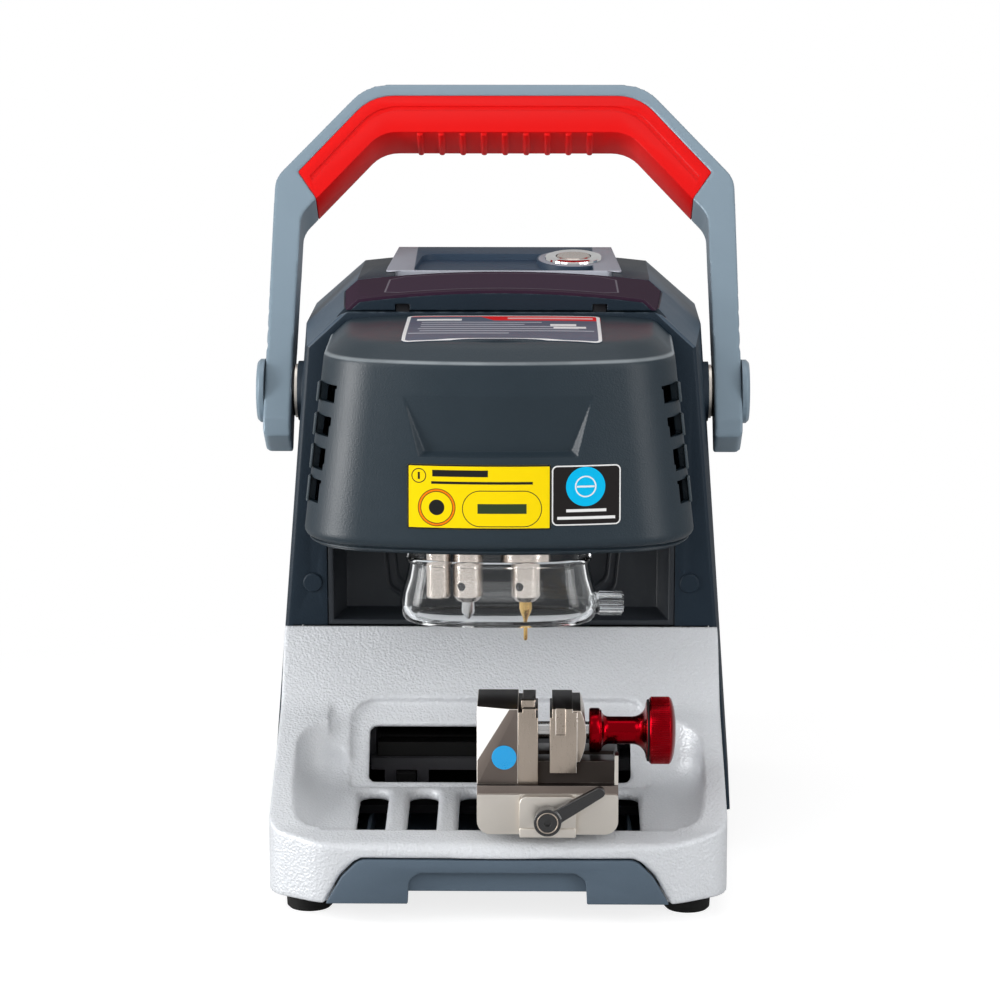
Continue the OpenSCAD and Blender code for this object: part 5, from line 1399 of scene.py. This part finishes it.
@dataclass
class Covers:
    """Every other node that is seen, with smooth curves and eased edges."""

    bevels: tuple[tuple[str, float], ...] = (
        ("rear_housing", 0.9), ("drawer_front", 0.6), ("splash_panel", 0.5), ("rear_panel", 0.3),
        ("power_inlet", 0.4), ("rear_top_cover", 0.7))
    turned: str = ("feet screw_caps button_bezel power_button guard_post spindle_holder probe_holder cutter "
                   "probe_pin spindle_motor pivot_bolts pivot_washers pivot_bosses lever_bolt clamp_screw "
                   "screen_glass screen_frame drawer_bin head_underplate x_screw y_screw z_screw z_motor "
                   "rocker_switch screen_hinge")
    angle: float = 28.0
    recess_front: Point = (0.0, 74.0, 273.0)
    recess_tilt: float = 7.2

    def build(self) -> None:
        """Makes the finished copies."""
        for node, width in self.bevels:
            piece = dress(refined(node, width, self.angle), FINISHES[node])
            if node == "rear_housing":
                # Painted light: the upward-facing chamfers of the housing's shoulders take the paler navy
                # with bright edges.
                tinted(piece, NAVY_PAINTED_HIGHLIGHT, lambda c, n: c.z > 248 and abs(c.x) > 60 and 0.35 < n.z < 0.93)
            stand_in(piece, node)
        for node in self.turned.split():
            stand_in(refined(node), node)
        self.recess_slot_shade()

    def recess_slot_shade(self) -> None:
        """A thin black strip laid in the rear top cover's recess, painted shade standing in for the slot
        there.
        """
        # Painted shade: a black strip where the slot's shade lies.
        strip = small_block("hump_slot", (88.0, 4.6, 0.6), 0.2, (0, 12.0, -2.75))
        tilt = Matrix.Rotation(math.radians(self.recess_tilt), 4, "X")
        strip.data.transform(Matrix.Translation(Vector(self.recess_front) * MM) @ tilt)
        beside(strip, "rear_top_cover", BLACK)


@dataclass(frozen=True)
class Lamp:
    """A soft rectangular lamp: its place and size in metres, its power in watts and what sees it."""

    name: str
    place: Point
    size: Pair
    power: float
    spread: bool = True
    gloss: bool = True

    def build(self, target: Vector) -> None:
        """Adds the lamp.

        Args:
            target: The point that it faces, in metres.
        """
        data = bpy.data.lights.new(self.name, "AREA")
        data.shape = "RECTANGLE"
        data.size, data.size_y = self.size
        data.energy = self.power
        lamp = bpy.data.objects.new(self.name, data)
        lamp.location = Vector(self.place)
        lamp.rotation_euler = (target - lamp.location).to_track_quat("-Z", "Y").to_euler()
        lamp.visible_diffuse = self.spread
        lamp.visible_glossy = self.gloss
        bpy.context.scene.collection.objects.link(lamp)


@dataclass
class Studio:
    """Camera, soft lights, pale floor and white surroundings."""

    eye: Point = (20.606, -1535.684, 448.261)
    target: Point = (0.0, -60.0, 180.06)
    lens: float = 114.9
    lit: Point = (0.0, -0.03, 0.17)
    fill: float = 0.28
    reflected: float = 0.55
    floor_tone: float = 1.8
    floor_light: float = 0.62
    floor_white: float = 0.80
    floor_size: float = 6.0
    lamps: tuple[Lamp, ...] = (
        Lamp("front", (0.0, -1.9, 0.75), (1.4, 0.7), 7.0, gloss=False),
        Lamp("key_left", (-0.9, -1.1, 1.1), (0.7, 0.9), 4.8),
        Lamp("key_right", (0.9, -1.1, 1.1), (0.7, 0.9), 4.2),
        Lamp("overhead", (0.0, 0.1, 1.3), (0.9, 0.9), 3.2),
        Lamp("side_left", (-1.15, -0.4, 0.38), (0.35, 0.8), 11.0),
        Lamp("side_right", (1.1, -0.75, 0.38), (0.35, 0.8), 5.0),
        Lamp("sheen_left", (-1.15, -0.4, 0.38), (0.35, 0.8), 12.0, spread=False))

    def camera(self) -> None:
        """Adds the camera."""
        data = bpy.data.cameras.new("camera")
        data.lens = self.lens
        data.sensor_width = 36.0
        data.clip_end = 50.0
        camera = bpy.data.objects.new("camera", data)
        camera.location = Vector(self.eye) * MM
        aim = Vector(self.target) * MM - camera.location
        camera.rotation_euler = aim.to_track_quat("-Z", "Y").to_euler()
        bpy.context.scene.collection.objects.link(camera)
        bpy.context.scene.camera = camera

    def seen(self, g: Graph) -> Sock:
        """One where the camera looks, straight or through glass."""
        straight = g.value("ShaderNodeLightPath", output="Is Camera Ray")
        return straight.most(g.value("ShaderNodeLightPath", output="Is Transmission Ray"))

    def world(self) -> None:
        """White to the camera, softer in reflections and as light."""
        scene = bpy.context.scene
        scene.world = bpy.data.worlds.new("studio_white")
        g = Graph("studio_white", scene.world)
        glossy = g.value("ShaderNodeLightPath", output="Is Glossy Ray")
        strength = self.seen(g).most(self.fill + glossy * (self.reflected - self.fill))
        shade = g.node("ShaderNodeBackground", {0: (1, 1, 1, 1), 1: strength})
        g.node("ShaderNodeOutputWorld", {0: shade.outputs[0]})

    def floor(self) -> None:
        """A pale floor that keeps the shadow near the object and turns white further off."""
        g = Graph("studio_floor")
        x, y, _ = g.axes(g.place())
        reach = (x * x + y * y) ** 0.5
        seen = self.seen(g)
        tone = g.blend(seen, (self.floor_light,) * 3, (self.floor_tone,) * 3)
        paint = g.node("ShaderNodeBsdfDiffuse", {0: tone})
        glow = g.node("ShaderNodeEmission", {0: (1, 1, 1, 1), 1: 1.0})
        white = reach.ramp(0.20, 0.50, self.floor_white, 1.0) * seen
        g.end(g.node("ShaderNodeMixShader", {0: white, 1: paint.outputs[0], 2: glow.outputs[0]}))
        size = self.floor_size
        corners = [(x * size, y * size, 0) for x, y in ((-1, -1), (1, -1), (1, 1), (-1, 1))]
        floor = mesh_object("studio_floor", corners, [(0, 1, 2, 3)])
        floor.data.materials.append(g.material)

    def build(self) -> None:
        """Sets up the studio."""
        bpy.context.scene.view_settings.view_transform = "Standard"
        self.camera()
        self.world()
        self.floor()
        for lamp in self.lamps:
            lamp.build(Vector(self.lit))


def dress_nodes() -> None:
    """Gives every CAD node its finish."""
    for node, finish in FINISHES.items():
        piece = frame["nodes"][node]
        for slot in piece.material_slots:
            slot.material = material(finish)
        if not piece.material_slots:
            piece.data.materials.append(material(finish))


def main() -> None:
    """Builds the studio and every sub-assembly in order."""
    logging.basicConfig(level=logging.INFO, format="%(name)s: %(message)s")
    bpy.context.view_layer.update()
    Studio().build()
    dress_nodes()
    BaseCasting().build()
    Covers().build()
    cover = CuttingHead().build()
    Plates(cover).build()
    ToolGuard().build()
    Knob().build()
    Clamp().build()
    Handle().build()


if __name__ == "__main__":
    main()
